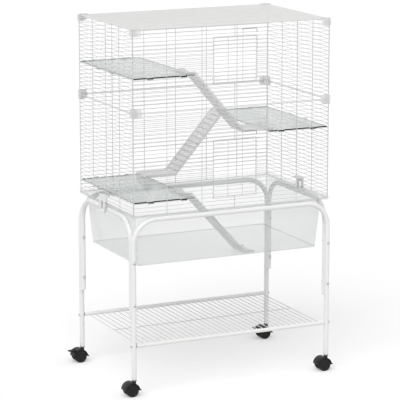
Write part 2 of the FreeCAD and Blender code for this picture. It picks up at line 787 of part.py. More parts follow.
half_width = value("half_width")
half_depth = value("half_depth")
inner_x = value("inner_x")
inner_y = value("inner_y")
thickness = value("panel_thickness")
border = value("border_wire")
row_wire = value("row_wire")
post_wire = value("post_wire")
door_offset = value("door_offset")
doorway_half = value("door_half") - value("door_overlap")
doorway = (door_offset - doorway_half, door_offset + doorway_half)
tiers = {
    "lower": (value("ledge_top"), value("tier_joint"), count("lower_rows"), value("lower_row_start")),
    "upper": (value("tier_joint"), value("cage_top"), count("upper_rows"), value("upper_row_start")),
}


def door_rows(tier):
    return count(tier + "_door_low_row"), count(tier + "_door_high_row")


def doorway_cells(columns, rows, tier):
    """The gaps of a front wall, with the doorway and the strips beside it taken out of the net."""
    low_row, high_row = door_rows(tier)
    frame_left = doorway[0] - border
    frame_right = doorway[1] + border
    holes = cells(columns, rows[:low_row] + rows[high_row:])
    for row in rows[low_row:high_row]:
        for left, right in columns:
            if left < frame_left:
                holes.append((left, min(right, frame_left), *row))
            if right > frame_right:
                holes.append((max(left, frame_right), right, *row))
    return holes + [(*doorway, rows[low_row][0], rows[high_row - 1][1])]


for tier, (low, high, rows, start) in tiers.items():
    row_gaps = gaps(low, high, rows, border, row_wire)
    back_gaps = gaps(-half_width, half_width, count("front_columns"), border, post_wire)
    front_gaps = gaps(-half_width, half_width, count("front_columns"), border, post_wire, door_offset)
    side_gaps = gaps(-inner_y, inner_y, count("side_columns"), border, post_wire)
    front = (-half_width, half_width, low, high)
    depth = (-inner_y, inner_y, low, high)
    keep(tier + "_front_wall", shaped(tier + "_front_wall", plate(
        lambda x, z: Vector(x, -half_depth, z), front, doorway_cells(front_gaps, row_gaps, tier),
        Vector(0, thickness, 0))))
    keep(tier + "_back_wall", shaped(tier + "_back_wall", plate(
        lambda x, z: Vector(x, half_depth, z), front, cells(back_gaps, row_gaps), Vector(0, -thickness, 0))))
    for name, side in (("_left_wall", -1), ("_right_wall", 1)):
        keep(tier + name, shaped(tier + name, plate(
            lambda y, z: Vector(side * half_width, y, z), depth, cells(side_gaps, row_gaps),
            Vector(-side * thickness, 0, 0))))

top_rows = round((2 * inner_y - border) / value("wire_pitch"))
keep("top_wall", shaped("top_wall", plate(
    lambda x, y: Vector(x, y, value("cage_top")), (-inner_x, inner_x, -inner_y, inner_y),
    cells(gaps(-inner_x, inner_x, count("front_columns"), border, post_wire),
          gaps(-inner_y, inner_y, top_rows, border, row_wire)),
    Vector(0, 0, -thickness))))

# Doors: smaller nets hung outside the doorways on a round bar, with a tang that carries the latch's stud.

def outward(low, high):
    """Limits in front of the front wall, from a nearer to a farther distance."""
    return (f"-({high})", f"-({low})")


brackets = []
for tier, (low, high, rows, start) in tiers.items():
    low_row, high_row = door_rows(tier)
    pitch = value("wire_pitch")
    door_low = start + low_row * pitch - value("door_overlap")
    door_high = start + high_row * pitch + value("door_overlap")
    hinge_x = value("hinge_x")
    hinge_y = value("hinge_y")
    door_end = value("door_end")
    door_wire = value("door_wire")
    door_border = value("door_border")
    door_columns = gaps(hinge_x, door_end, count("door_columns"), door_border, door_wire)
    door_columns[0] = (hinge_x + door_wire / 2, door_columns[0][1])
    door_rungs = gaps(door_low, door_high, high_row - low_row + 1, door_border, door_wire)
    net = plate(lambda x, z: Vector(x, -hinge_y + door_wire / 2, z), (hinge_x, door_end, door_low, door_high),
                cells(door_columns, door_rungs), Vector(0, -door_wire, 0))
    top = f"{tier}_door_top"
    hinge = {"x": "hinge_x", "y": "-hinge_y"}
    latch_z = f"{top} + latch_above_top"
    pad_half = "latch_pad / 2"
    net_layer = outward("door_face - door_wire", "door_face")
    door = tier + "_door"
    keep(door, fuse(door, [
        shaped(door + "_net", net),
        rod(door + "_bar", "hinge_bar / 2", "z", (f"{top} - {door_high - door_low}", top), **hinge),
        box(door + "_tang", ("latch_x - latch_tang / 2", "latch_x + latch_tang / 2"), net_layer,
            (f"{top} - door_border", latch_z)),
        box(door + "_pad", (f"latch_x - {pad_half}", f"latch_x + {pad_half}"), net_layer,
            (f"{latch_z} - {pad_half}", f"{latch_z} + {pad_half}")),
        rod(door + "_stud", "stud_diameter / 2", "y", outward("door_face", "latch_front + latch_gap"),
            x="latch_x", z=latch_z),
        rod(door + "_stud_head", "stud_head / 2", "y",
            outward("latch_front + latch_gap", "latch_front + latch_gap + stud_head_height"),
            x="latch_x", z=latch_z),
    ]))
    latch = tier + "_latch"
    layer = outward("latch_back", "latch_front")
    lever = fuse(latch + "_lever", [
        rod(latch + "_eye", "latch_eye / 2", "y", layer, x="latch_x", z=latch_z),
        box(latch + "_bar", ("latch_x", "latch_x + latch_reach"), layer,
            (f"{latch_z} - latch_bar / 2", f"{latch_z} + latch_bar / 2")),
        box(latch + "_hook", ("latch_x + latch_reach - latch_bar", "latch_x + latch_reach"), layer,
            (f"{latch_z} - latch_drop", latch_z)),
    ])
    keep(latch, cut(latch, lever, [rod(latch + "_bore", "stud_diameter / 2 + stud_play", "y", layer,
                                       x="latch_x", z=latch_z)]))
    for rung in (door_rungs[1], door_rungs[-2]):
        middle = f"{top} - {door_high - sum(rung) / 2}"
        height = (f"{middle} - bracket_height / 2", f"{middle} + bracket_height / 2")
        body = fuse(door + "_bracket_body", [
            rod(door + "_knuckle", "bracket_radius", "z", height, **hinge),
            box(door + "_strap", ("hinge_x - bracket_radius", "hinge_x + bracket_reach"),
                outward("half_depth", "hinge_y"), height),
        ])
        bore = rod(door + "_bracket_bore", "hinge_bar / 2 + hinge_play", "z", height, **hinge)
        brackets.append(cut(door + "_bracket", body, [bore]))
keep("hinge_brackets", group("hinge_brackets", brackets))

# Corner clips and caps: an outer angle and an inner block, joined by bosses through the wire gaps.

def corner_piece(name, side, end, low, high, boss_heights, cover):
    """Grips the two walls of one corner between low and high."""
    outer_x = "half_width + corner_wall"
    outer_y = "half_depth + corner_wall"
    front_x = beside(side, f"{outer_x} - corner_front", outer_x)
    side_y = beside(end, f"{outer_y} - corner_side", outer_y)
    block = doc.addObject("Part::Cylinder", name + "_block")
    block.Angle = 90
    bind(block, "Radius", "corner_block")
    bind(block, "Height", f"({high}) - panel_thickness - ({low})" if cover else f"({high}) - ({low})")
    quarter = {(-1, -1): 0, (1, -1): 90, (1, 1): 180, (-1, 1): 270}[side, end]
    settle(block, Rotation(Vector(0, 0, 1), quarter), x=f"{side} * inner_x", y=f"{end} * inner_y", z=low)
    pieces = [
        block,
        box(name + "_front", front_x, beside(end, "half_depth", outer_y), (low, high)),
        box(name + "_side", beside(side, "half_width", outer_x), side_y, (low, high)),
    ]
    if cover:
        pieces.append(box(name + "_cover", front_x, side_y, (high, f"{high} + cap_cover")))
    for height in boss_heights:
        tall = (f"{height} - corner_boss / 2", f"{height} + corner_boss / 2")
        pieces.append(box(name + "_front_boss",
                          beside(side, "inner_x - boss_inset - corner_boss", "inner_x - boss_inset"),
                          beside(end, "inner_y", "half_depth"), tall))
        pieces.append(box(name + "_side_boss", beside(side, "inner_x", "half_width"),
                          beside(end, "inner_y - boss_inset - corner_boss", "inner_y - boss_inset"), tall))
    return fuse(name, pieces)


first_gap = "border_wire / 2 + wire_pitch / 2 + border_wire / 4"
clips = []
caps = []
for corner, (side, end) in CORNERS.items():
    clips.append(corner_piece(corner + "_tier_clip", side, end, "tier_joint - corner_height / 2",
                              "tier_joint + corner_height / 2",
                              (f"tier_joint - ({first_gap})", f"tier_joint + {first_gap}"), False))
    caps.append(corner_piece(corner + "_cap", side, end, "cage_top - cap_drop", "cage_top",
                             (f"cage_top - ({first_gap})",), True))
keep("tier_clips", group("tier_clips", clips))
keep("corner_caps", group("corner_caps", caps))

# Decks: clear sheets that lie on a row of wires, with tabs through the walls and lips outside them.

column_step = "(cage_width - border_wire) / front_columns"
side_step = "(2 * inner_y - border_wire) / side_columns"
decks = {"upper_deck": -1, "middle_deck": 1, "lower_deck": -1}
for deck, side in decks.items():
    bottom = f"{deck}_bottom"
    sheet = (bottom, f"{bottom} + deck_thickness")
    lip = (f"{bottom} - tab_drop", f"{bottom} + deck_thickness")
    across = beside(side, "deck_inner", "deck_outer")
    pieces = [box(deck + "_sheet", across, both("inner_y - deck_gap"), sheet)]
    for end, column in itertools.product((-1, 1), (0.5, 1.5)):
        middle = f"half_width - border_wire / 2 - {column} * {column_step}"
        across = beside(side, f"{middle} - tab_width / 2", f"{middle} + tab_width / 2")
        pieces.append(box(deck + "_tab", across, beside(end, "inner_y - deck_gap", "half_depth"), sheet))
        pieces.append(box(deck + "_lip", across, beside(end, "half_depth", "half_depth + tab_lip"), lip))
    for end in (-1, 1):
        along = beside(end, f"{side_step} / 2 - tab_width / 2", f"{side_step} / 2 + tab_width / 2")
        pieces.append(box(deck + "_side_tab", beside(side, "deck_outer", "half_width"), along, sheet))
        pieces.append(box(deck + "_side_lip", beside(side, "half_width", "half_width + tab_lip"), along, lip))
    keep(deck, fuse(deck, pieces))

# Ramps: bent sheets with treads and low curbs, hooked on one deck's edge and resting on the floor below.

def ramp_outline(spine, under, over, treads):
    """The side view of a bent sheet along a spine, with treads on its slope."""
    def shift(distance):
        lines = []
        for (ax, az), (bx, bz) in zip(spine, spine[1:]):
            length = math.hypot(bx - ax, bz - az)
            nx, nz = -(bz - az) / length * distance, (bx - ax) / length * distance
            lines.append(((ax + nx, az + nz), (bx + nx, bz + nz)))
        points = [lines[0][0]]
        for ((ax, az), (bx, bz)), ((cx, cz), (dx, dz)) in zip(lines, lines[1:]):
            cross = (bx - ax) * (dz - cz) - (bz - az) * (dx - cx)
            part = ((cx - ax) * (dz - cz) - (cz - az) * (dx - cx)) / cross
            points.append((ax + part * (bx - ax), az + part * (bz - az)))
        return points + [lines[-1][1]]
    top = shift(over)
    (ax, az), (bx, bz) = top[1], top[2]
    length = math.hypot(bx - ax, bz - az)
    ux, uz = (bx - ax) / length, (bz - az) / length
    bumps = []
    for start in treads(length):
        for along, rise in ((0, 0), (0, 1), (1, 1), (1, 0)):
            far = start + along * value("tread_width")
            tall = rise * value("tread_height")
            bumps.append((ax + far * ux - tall * uz, az + far * uz + tall * ux))
    return top[:2] + bumps + top[2:] + shift(-under)[::-1]


def tread_starts(length):
    pitch = value("tread_pitch")
    number = int((length - pitch) // pitch)
    first = (length - (number - 1) * pitch - value("tread_width")) / 2
    return [first + index * pitch for index in range(number)]


def ramp(name, heading, deck_top, floor, run, foot, near, far):
    """A ramp that goes down towards plus or minus X between two limits in depth."""
    half = value("ramp_sheet") / 2
    edge = value("deck_inner")
    start = -edge + value("ramp_edge_gap")
    spine = [
        (-edge - value("ramp_hook"), deck_top + half),
        (start, deck_top + half),
        (start + run, floor + half),
        (start + run + foot, floor + half),
    ]
    def sheet(over, treads, low, high):
        points = [Vector(heading * x, low, z) for x, z in ramp_outline(spine, half, over, treads)]
        face = Part.Face(Part.makePolygon(points + points[:1]))
        return face.extrude(Vector(0, high - low, 0))
    curb = value("ramp_curb")
    tall = half + value("ramp_curb_height")
    whole = sheet(half, tread_starts, near, far)
    for low in (near, far - curb):
        whole = whole.fuse(sheet(tall, lambda length: [], low, low + curb))
    keep(name, shaped(name, whole.removeSplitter()))


deck_tops = {deck: value(deck + "_bottom") + value("deck_thickness") for deck in decks}
ramp_far = inner_y - value("ramp_wall_gap")
ramp_near = ramp_far - value("ramp_width")
landing = value("ramp_landing") + value("ramp_rest")
ramp("upper_ramp", 1, deck_tops["upper_deck"], deck_tops["middle_deck"], value("ramp_run"), landing,
     -ramp_far, -ramp_near)
ramp("middle_ramp", -1, deck_tops["middle_deck"], deck_tops["lower_deck"], value("ramp_run"), landing,
     ramp_near, ramp_far)
basin_floor = basin_bottom + basin_wall
basin_far = tub_y - tub_slope * (ledge_top - basin_floor) - basin_wall - value("ramp_wall_gap") / 2
ramp("lower_ramp", 1, deck_tops["lower_deck"], basin_floor, value("basin_ramp_run"), value("basin_ramp_foot"),
     -basin_far, -basin_far + value("ramp_width"))

# Everything is worked out and looked over before any part is written.

doc.recompute()
failed = [piece.Name for piece in doc.Objects if {"Invalid", "Error"} & set(piece.State)]
for piece in nodes:
    shape = Part.getShape(piece)
    if shape.isNull() or not shape.isValid() or not shape.Solids:
        failed.append(piece.Label)
if failed:
    raise RuntimeError("these pieces failed: " + ", ".join(failed))
os.makedirs("parts", exist_ok=True)
for piece in nodes:
    shape = Part.getShape(piece)
    shape.exportStep(f"parts/{piece.Label}.step")
    print(f"{piece.Label}: {len(shape.Solids)} solids, {shape.Volume / 1000:.1f} cm3")
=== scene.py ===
import json
import math

import bmesh
import bpy
from mathutils import Matrix, Vector


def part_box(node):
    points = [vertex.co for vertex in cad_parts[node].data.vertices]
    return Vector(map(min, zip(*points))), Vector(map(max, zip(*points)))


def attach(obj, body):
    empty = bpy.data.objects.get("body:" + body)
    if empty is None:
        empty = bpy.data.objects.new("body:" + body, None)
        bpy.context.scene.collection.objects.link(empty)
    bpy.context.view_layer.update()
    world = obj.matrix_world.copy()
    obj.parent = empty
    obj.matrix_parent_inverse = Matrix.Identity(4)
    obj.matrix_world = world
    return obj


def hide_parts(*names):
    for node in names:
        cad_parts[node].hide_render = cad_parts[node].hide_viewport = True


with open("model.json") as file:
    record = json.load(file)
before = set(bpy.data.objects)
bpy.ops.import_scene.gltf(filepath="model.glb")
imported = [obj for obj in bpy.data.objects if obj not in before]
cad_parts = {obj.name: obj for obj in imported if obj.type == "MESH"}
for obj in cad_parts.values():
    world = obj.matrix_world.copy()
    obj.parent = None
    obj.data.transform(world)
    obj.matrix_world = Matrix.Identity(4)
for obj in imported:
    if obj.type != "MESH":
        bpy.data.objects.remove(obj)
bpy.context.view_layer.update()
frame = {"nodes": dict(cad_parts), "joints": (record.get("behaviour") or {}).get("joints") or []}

# Studio: a plain pale floor under soft, even light, with white all round.
# The camera stands where the photograph was taken from, found from the straight edges of the stand.
camera_place = Vector((-3.46248, -7.31825, 2.36094))
camera_heading = Vector((0.4171, 0.8851, -0.2066))
camera_lens = 195.92
floor_half = 30.0
floor_pale = (0.8, 0.8, 0.8, 1.0)
floor_lift = 0.27
surround_white = (1.0, 1.0, 1.0, 1.0)
surround_glow = 0.52
key_heading = Vector((0.55, 0.62, -1.0))
key_strength = 1.55
key_spread = 45
fill_heading = Vector((-0.8, 0.5, -0.45))
fill_strength = 0.3
fill_spread = 90

scene = bpy.context.scene
scene.view_settings.view_transform = "Standard"
camera_data = bpy.data.cameras.new("camera")
camera_data.lens = camera_lens
camera_data.clip_end = 100
camera = bpy.data.objects.new("camera", camera_data)
camera.location = camera_place
camera.rotation_euler = camera_heading.to_track_quat("-Z", "Y").to_euler()
scene.collection.objects.link(camera)
scene.camera = camera

for lamp_name, heading, strength, spread in (
        ("key_lamp", key_heading, key_strength, key_spread),
        ("fill_lamp", fill_heading, fill_strength, fill_spread)):
    lamp_data = bpy.data.lights.new(lamp_name, "SUN")
    lamp_data.energy = strength
    lamp_data.angle = math.radians(spread)
    lamp = bpy.data.objects.new(lamp_name, lamp_data)
    lamp.rotation_euler = heading.to_track_quat("-Z", "Y").to_euler()
    scene.collection.objects.link(lamp)


def seen_rays(nodes, links):
    """One for rays that show the surround: straight from the camera, reflected or through plastic."""
    path = nodes.new("ShaderNodeLightPath")
    either = nodes.new("ShaderNodeMath")
    either.operation = "MAXIMUM"
    links.new(path.outputs["Is Camera Ray"], either.inputs[0])
    links.new(path.outputs["Is Glossy Ray"], either.inputs[1])
    any_ray = nodes.new("ShaderNodeMath")
    any_ray.operation = "MAXIMUM"
    links.new(either.outputs[0], any_ray.inputs[0])
    links.new(path.outputs["Is Transmission Ray"], any_ray.inputs[1])
    return any_ray.outputs[0]


world = bpy.data.worlds.new("surround")
world.use_nodes = True
scene.world = world
world_nodes, world_links = world.node_tree.nodes, world.node_tree.links
world_glow = world_nodes["Background"]
world_mix = world_nodes.new("ShaderNodeMix")
world_mix.inputs["A"].default_value = surround_glow
world_mix.inputs["B"].default_value = 1.0
world_links.new(seen_rays(world_nodes, world_links), world_mix.inputs["Factor"])
world_links.new(world_mix.outputs["Result"], world_glow.inputs["Strength"])
world_glow.inputs["Color"].default_value = surround_white

floor_mesh = bpy.data.meshes.new("floor")
floor_corners = [(-floor_half, -floor_half, 0), (floor_half, -floor_half, 0),
                 (floor_half, floor_half, 0), (-floor_half, floor_half, 0)]
floor_mesh.from_pydata(floor_corners, [], [(0, 1, 2, 3)])
floor = bpy.data.objects.new("floor", floor_mesh)
scene.collection.objects.link(floor)
floor_paint = bpy.data.materials.new("floor_paint")
floor_paint.use_nodes = True
floor_nodes, floor_links = floor_paint.node_tree.nodes, floor_paint.node_tree.links
floor_skin = floor_nodes["Principled BSDF"]
floor_skin.inputs["Base Color"].default_value = floor_pale
floor_skin.inputs["Roughness"].default_value = 1.0
floor_skin.inputs["Specular IOR Level"].default_value = 0.0
floor_skin.inputs["Emission Color"].default_value = surround_white
floor_shine = floor_nodes.new("ShaderNodeMath")
floor_shine.operation = "MULTIPLY"
floor_shine.inputs[1].default_value = floor_lift
floor_links.new(seen_rays(floor_nodes, floor_links), floor_shine.inputs[0])
floor_links.new(floor_shine.outputs[0], floor_skin.inputs["Emission Strength"])
floor_mesh.materials.append(floor_paint)


# Stand arches and lower legs: steel tube, bent cold, drilled for its bolts and powder coated white.
# The coat has a faint orange peel and settles a little darker in patches.
coat_white = (0.91, 0.915, 0.91, 1)
coat_shade = (0.86, 0.866, 0.862, 1)
grain_depth = 0.0004


def moulded(name, light, dark, patch, roughness, peel, peel_scale):
    """A finish that drifts between two colours, with a fine raised grain and uneven gloss."""
    paint = bpy.data.materials.new(name)
    paint.use_nodes = True
    nodes, links = paint.node_tree.nodes, paint.node_tree.links
    skin = nodes["Principled BSDF"]
    place = nodes.new("ShaderNodeTexCoord")
    drift = nodes.new("ShaderNodeTexNoise")
    drift.inputs["Scale"].default_value = patch
    drift.inputs["Detail"].default_value = 4
    links.new(place.outputs["Object"], drift.inputs["Vector"])
    colour = nodes.new("ShaderNodeMix")
    colour.data_type = "RGBA"
    colour.inputs["A"].default_value = dark
    colour.inputs["B"].default_value = light
    links.new(drift.outputs["Fac"], colour.inputs["Factor"])
    links.new(colour.outputs["Result"], skin.inputs["Base Color"])
    gloss = nodes.new("ShaderNodeMapRange")
    gloss.inputs["To Min"].default_value = roughness[0]
    gloss.inputs["To Max"].default_value = roughness[1]
    links.new(drift.outputs["Fac"], gloss.inputs["Value"])
    links.new(gloss.outputs["Result"], skin.inputs["Roughness"])
    grain = nodes.new("ShaderNodeTexNoise")
    grain.inputs["Scale"].default_value = peel_scale
    grain.inputs["Detail"].default_value = 2
    links.new(place.outputs["Object"], grain.inputs["Vector"])
    bump = nodes.new("ShaderNodeBump")
    bump.inputs["Strength"].default_value = peel
    bump.inputs["Distance"].default_value = grain_depth
    links.new(grain.outputs["Fac"], bump.inputs["Height"])
    links.new(bump.outputs["Normal"], skin.inputs["Normal"])
    return paint


def finished(node, paint):
    """Puts a finish on a CAD node that keeps its shape."""
    slots = frame["nodes"][node].data.materials
    slots.clear()
    slots.append(paint)


corners = {"front_left": (-1, -1), "front_right": (1, -1), "back_left": (-1, 1), "back_right": (1, 1)}
tube_coat = moulded("white_powder_coat", coat_white, coat_shade, patch=14, roughness=(0.28, 0.42),
                    peel=0.12, peel_scale=900)
legs = [corner + "_leg" for corner in corners]
for tube in ("front_arch", "back_arch", "left_arch", "right_arch", *legs):
    finished(tube, tube_coat)


# Frame bolts, shelf bolts and cap nuts: zinc plated steel, round heads with a six-sided socket.
# Two bolts pass through the tubes at each corner of the stand, and one holds each end of a shelf rail.
zinc_light = (0.62, 0.62, 0.61, 1)
zinc_dark = (0.42, 0.42, 0.43, 1)
head_radius = 0.0055
head_height = 0.004
socket_flat = 0.002
socket_depth = 0.0022
shank_radius = 0.003
nut_flat = 0.005
nut_height = 0.008
nut_hex = 0.45
nut_dome = ((0.86, 0.5), (0.78, 0.75), (0.45, 0.96))
dome_lifts = (0, 0.35, 0.7, 1.0)
frame_bolt_past = 0.0055
shelf_bolt_length = 0.041
tube_gap = 0.0003
turn_steps = 36
turn_crease = 35


def tuned(paint, socket, value):
    """Sets one property of a finish that is the same all over it."""
    paint.node_tree.nodes["Principled BSDF"].inputs[socket].default_value = value


zinc = moulded("zinc_plate", zinc_light, zinc_dark, patch=220, roughness=(0.22, 0.4),
               peel=0.08, peel_scale=2500)
tuned(zinc, "Metallic", 1.0)


def turned(rings, name):
    """A closed mesh turned about Z; a ring is a radius and a height, and may be six-sided."""
    made = bmesh.new()
    loops = []
    for radius, height, *six_sided in rings:
        if radius == 0:
            loops.append([made.verts.new((0, 0, height))] * turn_steps)
            continue
        loop = []
        for step in range(turn_steps):
            angle = 2 * math.pi * step / turn_steps
            reach = radius
            if six_sided:
                reach = radius / math.cos((angle + math.pi / 6) % (math.pi / 3) - math.pi / 6)
            loop.append(made.verts.new((reach * math.cos(angle), reach * math.sin(angle), height)))
        loops.append(loop)
    for lower, upper in zip(loops, loops[1:]):
        for step in range(turn_steps):
            after = (step + 1) % turn_steps
            face = dict.fromkeys((lower[step], lower[after], upper[after], upper[step]))
            made.faces.new(list(face))
    bmesh.ops.recalc_face_normals(made, faces=made.faces)
    mesh = bpy.data.meshes.new(name)
    made.to_mesh(mesh)
    made.free()
    mesh.shade_smooth()
    mesh.set_sharp_from_angle(angle=math.radians(turn_crease))
    return mesh


def bolt_form(length, name):
    """A round head below its seat at zero, and a shank above it."""
    dome = [(head_radius * math.cos(lift), -head_height * math.sin(lift)) for lift in dome_lifts]
    return turned([(0, socket_depth - head_height), (socket_flat, socket_depth - head_height, True),
                   (socket_flat, -head_height, True), *reversed(dome),
                   (shank_radius, 0), (shank_radius, length), (0, length)], name)


nut_form = turned([
    (0, 0), (nut_flat, 0, True), (nut_flat, nut_height * nut_hex, True),
    *((nut_flat * out, nut_height * up) for out, up in nut_dome), (0, nut_height),
], "cap_nut")

setting_out = bpy.data.node_groups.new("set_out_fasteners", "GeometryNodeTree")
set_sockets = setting_out.interface
set_sockets.new_socket("Places", in_out="INPUT", socket_type="NodeSocketGeometry")
pattern_input = set_sockets.new_socket("Pattern", in_out="INPUT", socket_type="NodeSocketObject")
finish_input = set_sockets.new_socket("Finish", in_out="INPUT", socket_type="NodeSocketMaterial")
set_sockets.new_socket("Fasteners", in_out="OUTPUT", socket_type="NodeSocketGeometry")
set_nodes, set_links = setting_out.nodes, setting_out.links
set_in = set_nodes.new("NodeGroupInput")
set_form = set_nodes.new("GeometryNodeObjectInfo")
set_heading = set_nodes.new("GeometryNodeInputNamedAttribute")
set_heading.data_type = "FLOAT_VECTOR"
set_heading.inputs["Name"].default_value = "heading"
set_turn = set_nodes.new("FunctionNodeAlignRotationToVector")
set_turn.axis = "Z"
set_copies = set_nodes.new("GeometryNodeInstanceOnPoints")
set_real = set_nodes.new("GeometryNodeRealizeInstances")
set_finish = set_nodes.new("GeometryNodeSetMaterial")
set_out = set_nodes.new("NodeGroupOutput")
set_links.new(set_in.outputs["Places"], set_copies.inputs["Points"])
set_links.new(set_in.outputs["Pattern"], set_form.inputs["Object"])
set_links.new(set_form.outputs["Geometry"], set_copies.inputs["Instance"])
set_links.new(set_heading.outputs["Attribute"], set_turn.inputs["Vector"])
set_links.new(set_turn.outputs["Rotation"], set_copies.inputs["Rotation"])
set_links.new(set_copies.outputs["Instances"], set_real.inputs["Geometry"])
set_links.new(set_real.outputs["Geometry"], set_finish.inputs["Geometry"])
set_links.new(set_in.outputs["Finish"], set_finish.inputs["Material"])
set_links.new(set_finish.outputs["Geometry"], set_out.inputs["Fasteners"])


def shown(name, mesh):
    """A piece in the scene that shows a mesh where the mesh says."""
    piece = bpy.data.objects.new(name, mesh)
    scene.collection.objects.link(piece)
    return piece


def fixed_mesh(piece):
    """Turns what a piece's modifiers make into its own plain mesh."""
    bpy.context.view_layer.update()
    made = bpy.data.meshes.new_from_object(piece.evaluated_get(bpy.context.evaluated_depsgraph_get()))
    piece.modifiers.clear()
    piece.data = made
    return piece


def belongs(piece, body, slot, *nodes):
    """Says what a piece moves with and which CAD nodes it stands for; slot is not used."""
    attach(piece, body)
    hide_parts(*nodes)


def set_fasteners(name, form, spots, paint):
    """Copies one fastener to each place, pointing the way that it is driven."""
    places, headings = zip(*spots)
    mesh = bpy.data.meshes.new(name)
    mesh.from_pydata(places, [], [])
    aim = mesh.attributes.new("heading", "FLOAT_VECTOR", "POINT")
    for spot, heading in zip(aim.data, headings):
        spot.vector = heading
    piece = shown(name, mesh)
    pattern = bpy.data.objects.new(name + "_pattern", form)
    modifier = piece.modifiers.new("set_out", "NODES")
    modifier.node_group = setting_out
    modifier[pattern_input.identifier] = pattern
    modifier[finish_input.identifier] = paint
    fixed_mesh(piece)
    bpy.data.objects.remove(pattern)
    return piece


def half_size(node):
    """Half of a node's size along each axis."""
    low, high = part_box(node)
    return (high - low) / 2


def middle_of(node):
    """The middle of a node's box."""
    low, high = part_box(node)
    return (low + high) / 2


tube_radius = half_size("front_arch").y
leg_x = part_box("front_arch")[1].x - tube_radius
leg_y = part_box("back_arch")[1].y - tube_radius
inner_leg_y = leg_y - 2 * tube_radius - tube_gap
bolt_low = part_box("frame_bolts")[0].z + head_radius
bolt_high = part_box("frame_bolts")[1].z - head_radius
shelf_z = middle_of("shelf").z
bolt_spots = []
nut_spots = []
shelf_spots = []
for side, end in corners.values():
    for height in (bolt_low, bolt_high):
        bolt_spots.append(((side * leg_x, end * (leg_y + tube_radius), height), (0, -end, 0)))
        nut_spots.append(((side * leg_x, end * (inner_leg_y - tube_radius), height), (0, -end, 0)))
    shelf_spots.append(((side * (leg_x + tube_radius), end * leg_y, shelf_z), (-side, 0, 0)))
through_length = leg_y - inner_leg_y + 2 * tube_radius + frame_bolt_past
belongs(set_fasteners("frame_bolt_set", bolt_form(through_length, "frame_bolt"), bolt_spots, zinc),
        "stand", "steel", "frame_bolts")
belongs(set_fasteners("frame_nut_set", nut_form, nut_spots, zinc), "stand", "steel", "frame_nuts")
belongs(set_fasteners("shelf_bolt_set", bolt_form(shelf_bolt_length, "shelf_bolt"), shelf_spots, zinc),
        "stand", "steel", "shelf_bolts")


# Shelf: straight wires welded between two tube rails, with one wire under their middle, powder coated.
# Each rail end holds a black plug that takes the shelf bolt.
shelf_wires = 32
shelf_wire_radius = 0.0015
shelf_margin = 0.0155
weld_sink = 0.0003
rail_radius = half_size("shelf").z
wire_crease = 60
shelf_white = (0.89, 0.895, 0.88, 1)
shelf_shade = (0.84, 0.845, 0.83, 1)
# The shelf, wall and door wires take a greyer copy of the white coat: painted shade for the shaded sides of
# the thin wires against the white surround.
shaded_wire_light = (0.72, 0.725, 0.72, 1)
shaded_wire_dark = (0.64, 0.646, 0.642, 1)
plug_black = (0.006, 0.006, 0.0065, 1)
plug_grey = (0.012, 0.012, 0.0125, 1)
plug_sheen = 0.25

shelf_coat = moulded("white_shelf_coat", shelf_white, shelf_shade, patch=30, roughness=(0.3, 0.45),
                     peel=0.08, peel_scale=1200)
shaded_wire_coat = moulded("white_wire_coat_in_painted_shade", shaded_wire_light, shaded_wire_dark, patch=30, roughness=(0.3, 0.45),
                    peel=0.08, peel_scale=1200)
black_moulding = moulded("black_moulding", plug_grey, plug_black, patch=60, roughness=(0.38, 0.52),
                         peel=0.2, peel_scale=1600)
tuned(black_moulding, "Specular IOR Level", plug_sheen)

drawing = bpy.data.node_groups.new("drawn_wire", "GeometryNodeTree")
draw_sockets = drawing.interface
draw_sockets.new_socket("Lines", in_out="INPUT", socket_type="NodeSocketGeometry")
sides_input = draw_sockets.new_socket("Sides", in_out="INPUT", socket_type="NodeSocketInt")
coat_input = draw_sockets.new_socket("Finish", in_out="INPUT", socket_type="NodeSocketMaterial")
draw_sockets.new_socket("Wires", in_out="OUTPUT", socket_type="NodeSocketGeometry")
draw_nodes, draw_links = drawing.nodes, drawing.links
draw_in = draw_nodes.new("NodeGroupInput")
draw_path = draw_nodes.new("GeometryNodeMeshToCurve")
draw_gauge = draw_nodes.new("GeometryNodeInputNamedAttribute")
draw_gauge.data_type = "FLOAT"
draw_gauge.inputs["Name"].default_value = "gauge"
draw_round = draw_nodes.new("GeometryNodeCurvePrimitiveCircle")
draw_round.inputs["Radius"].default_value = 1.0
draw_sweep = draw_nodes.new("GeometryNodeCurveToMesh")
draw_sweep.inputs["Fill Caps"].default_value = True
draw_smooth = draw_nodes.new("GeometryNodeSetShadeSmooth")
draw_real = draw_nodes.new("GeometryNodeRealizeInstances")
draw_coat = draw_nodes.new("GeometryNodeSetMaterial")
draw_out = draw_nodes.new("NodeGroupOutput")
draw_links.new(draw_in.outputs["Lines"], draw_path.inputs["Mesh"])
draw_links.new(draw_in.outputs["Sides"], draw_round.inputs["Resolution"])
draw_links.new(draw_path.outputs["Curve"], draw_sweep.inputs["Curve"])
draw_links.new(draw_round.outputs["Curve"], draw_sweep.inputs["Profile Curve"])
draw_links.new(draw_gauge.outputs["Attribute"], draw_sweep.inputs["Scale"])
draw_links.new(draw_sweep.outputs["Mesh"], draw_smooth.inputs["Geometry"])
draw_links.new(draw_smooth.outputs["Geometry"], draw_real.inputs["Geometry"])
draw_links.new(draw_real.outputs["Geometry"], draw_coat.inputs["Geometry"])
draw_links.new(draw_in.outputs["Finish"], draw_coat.inputs["Material"])
draw_links.new(draw_coat.outputs["Geometry"], draw_out.inputs["Wires"])


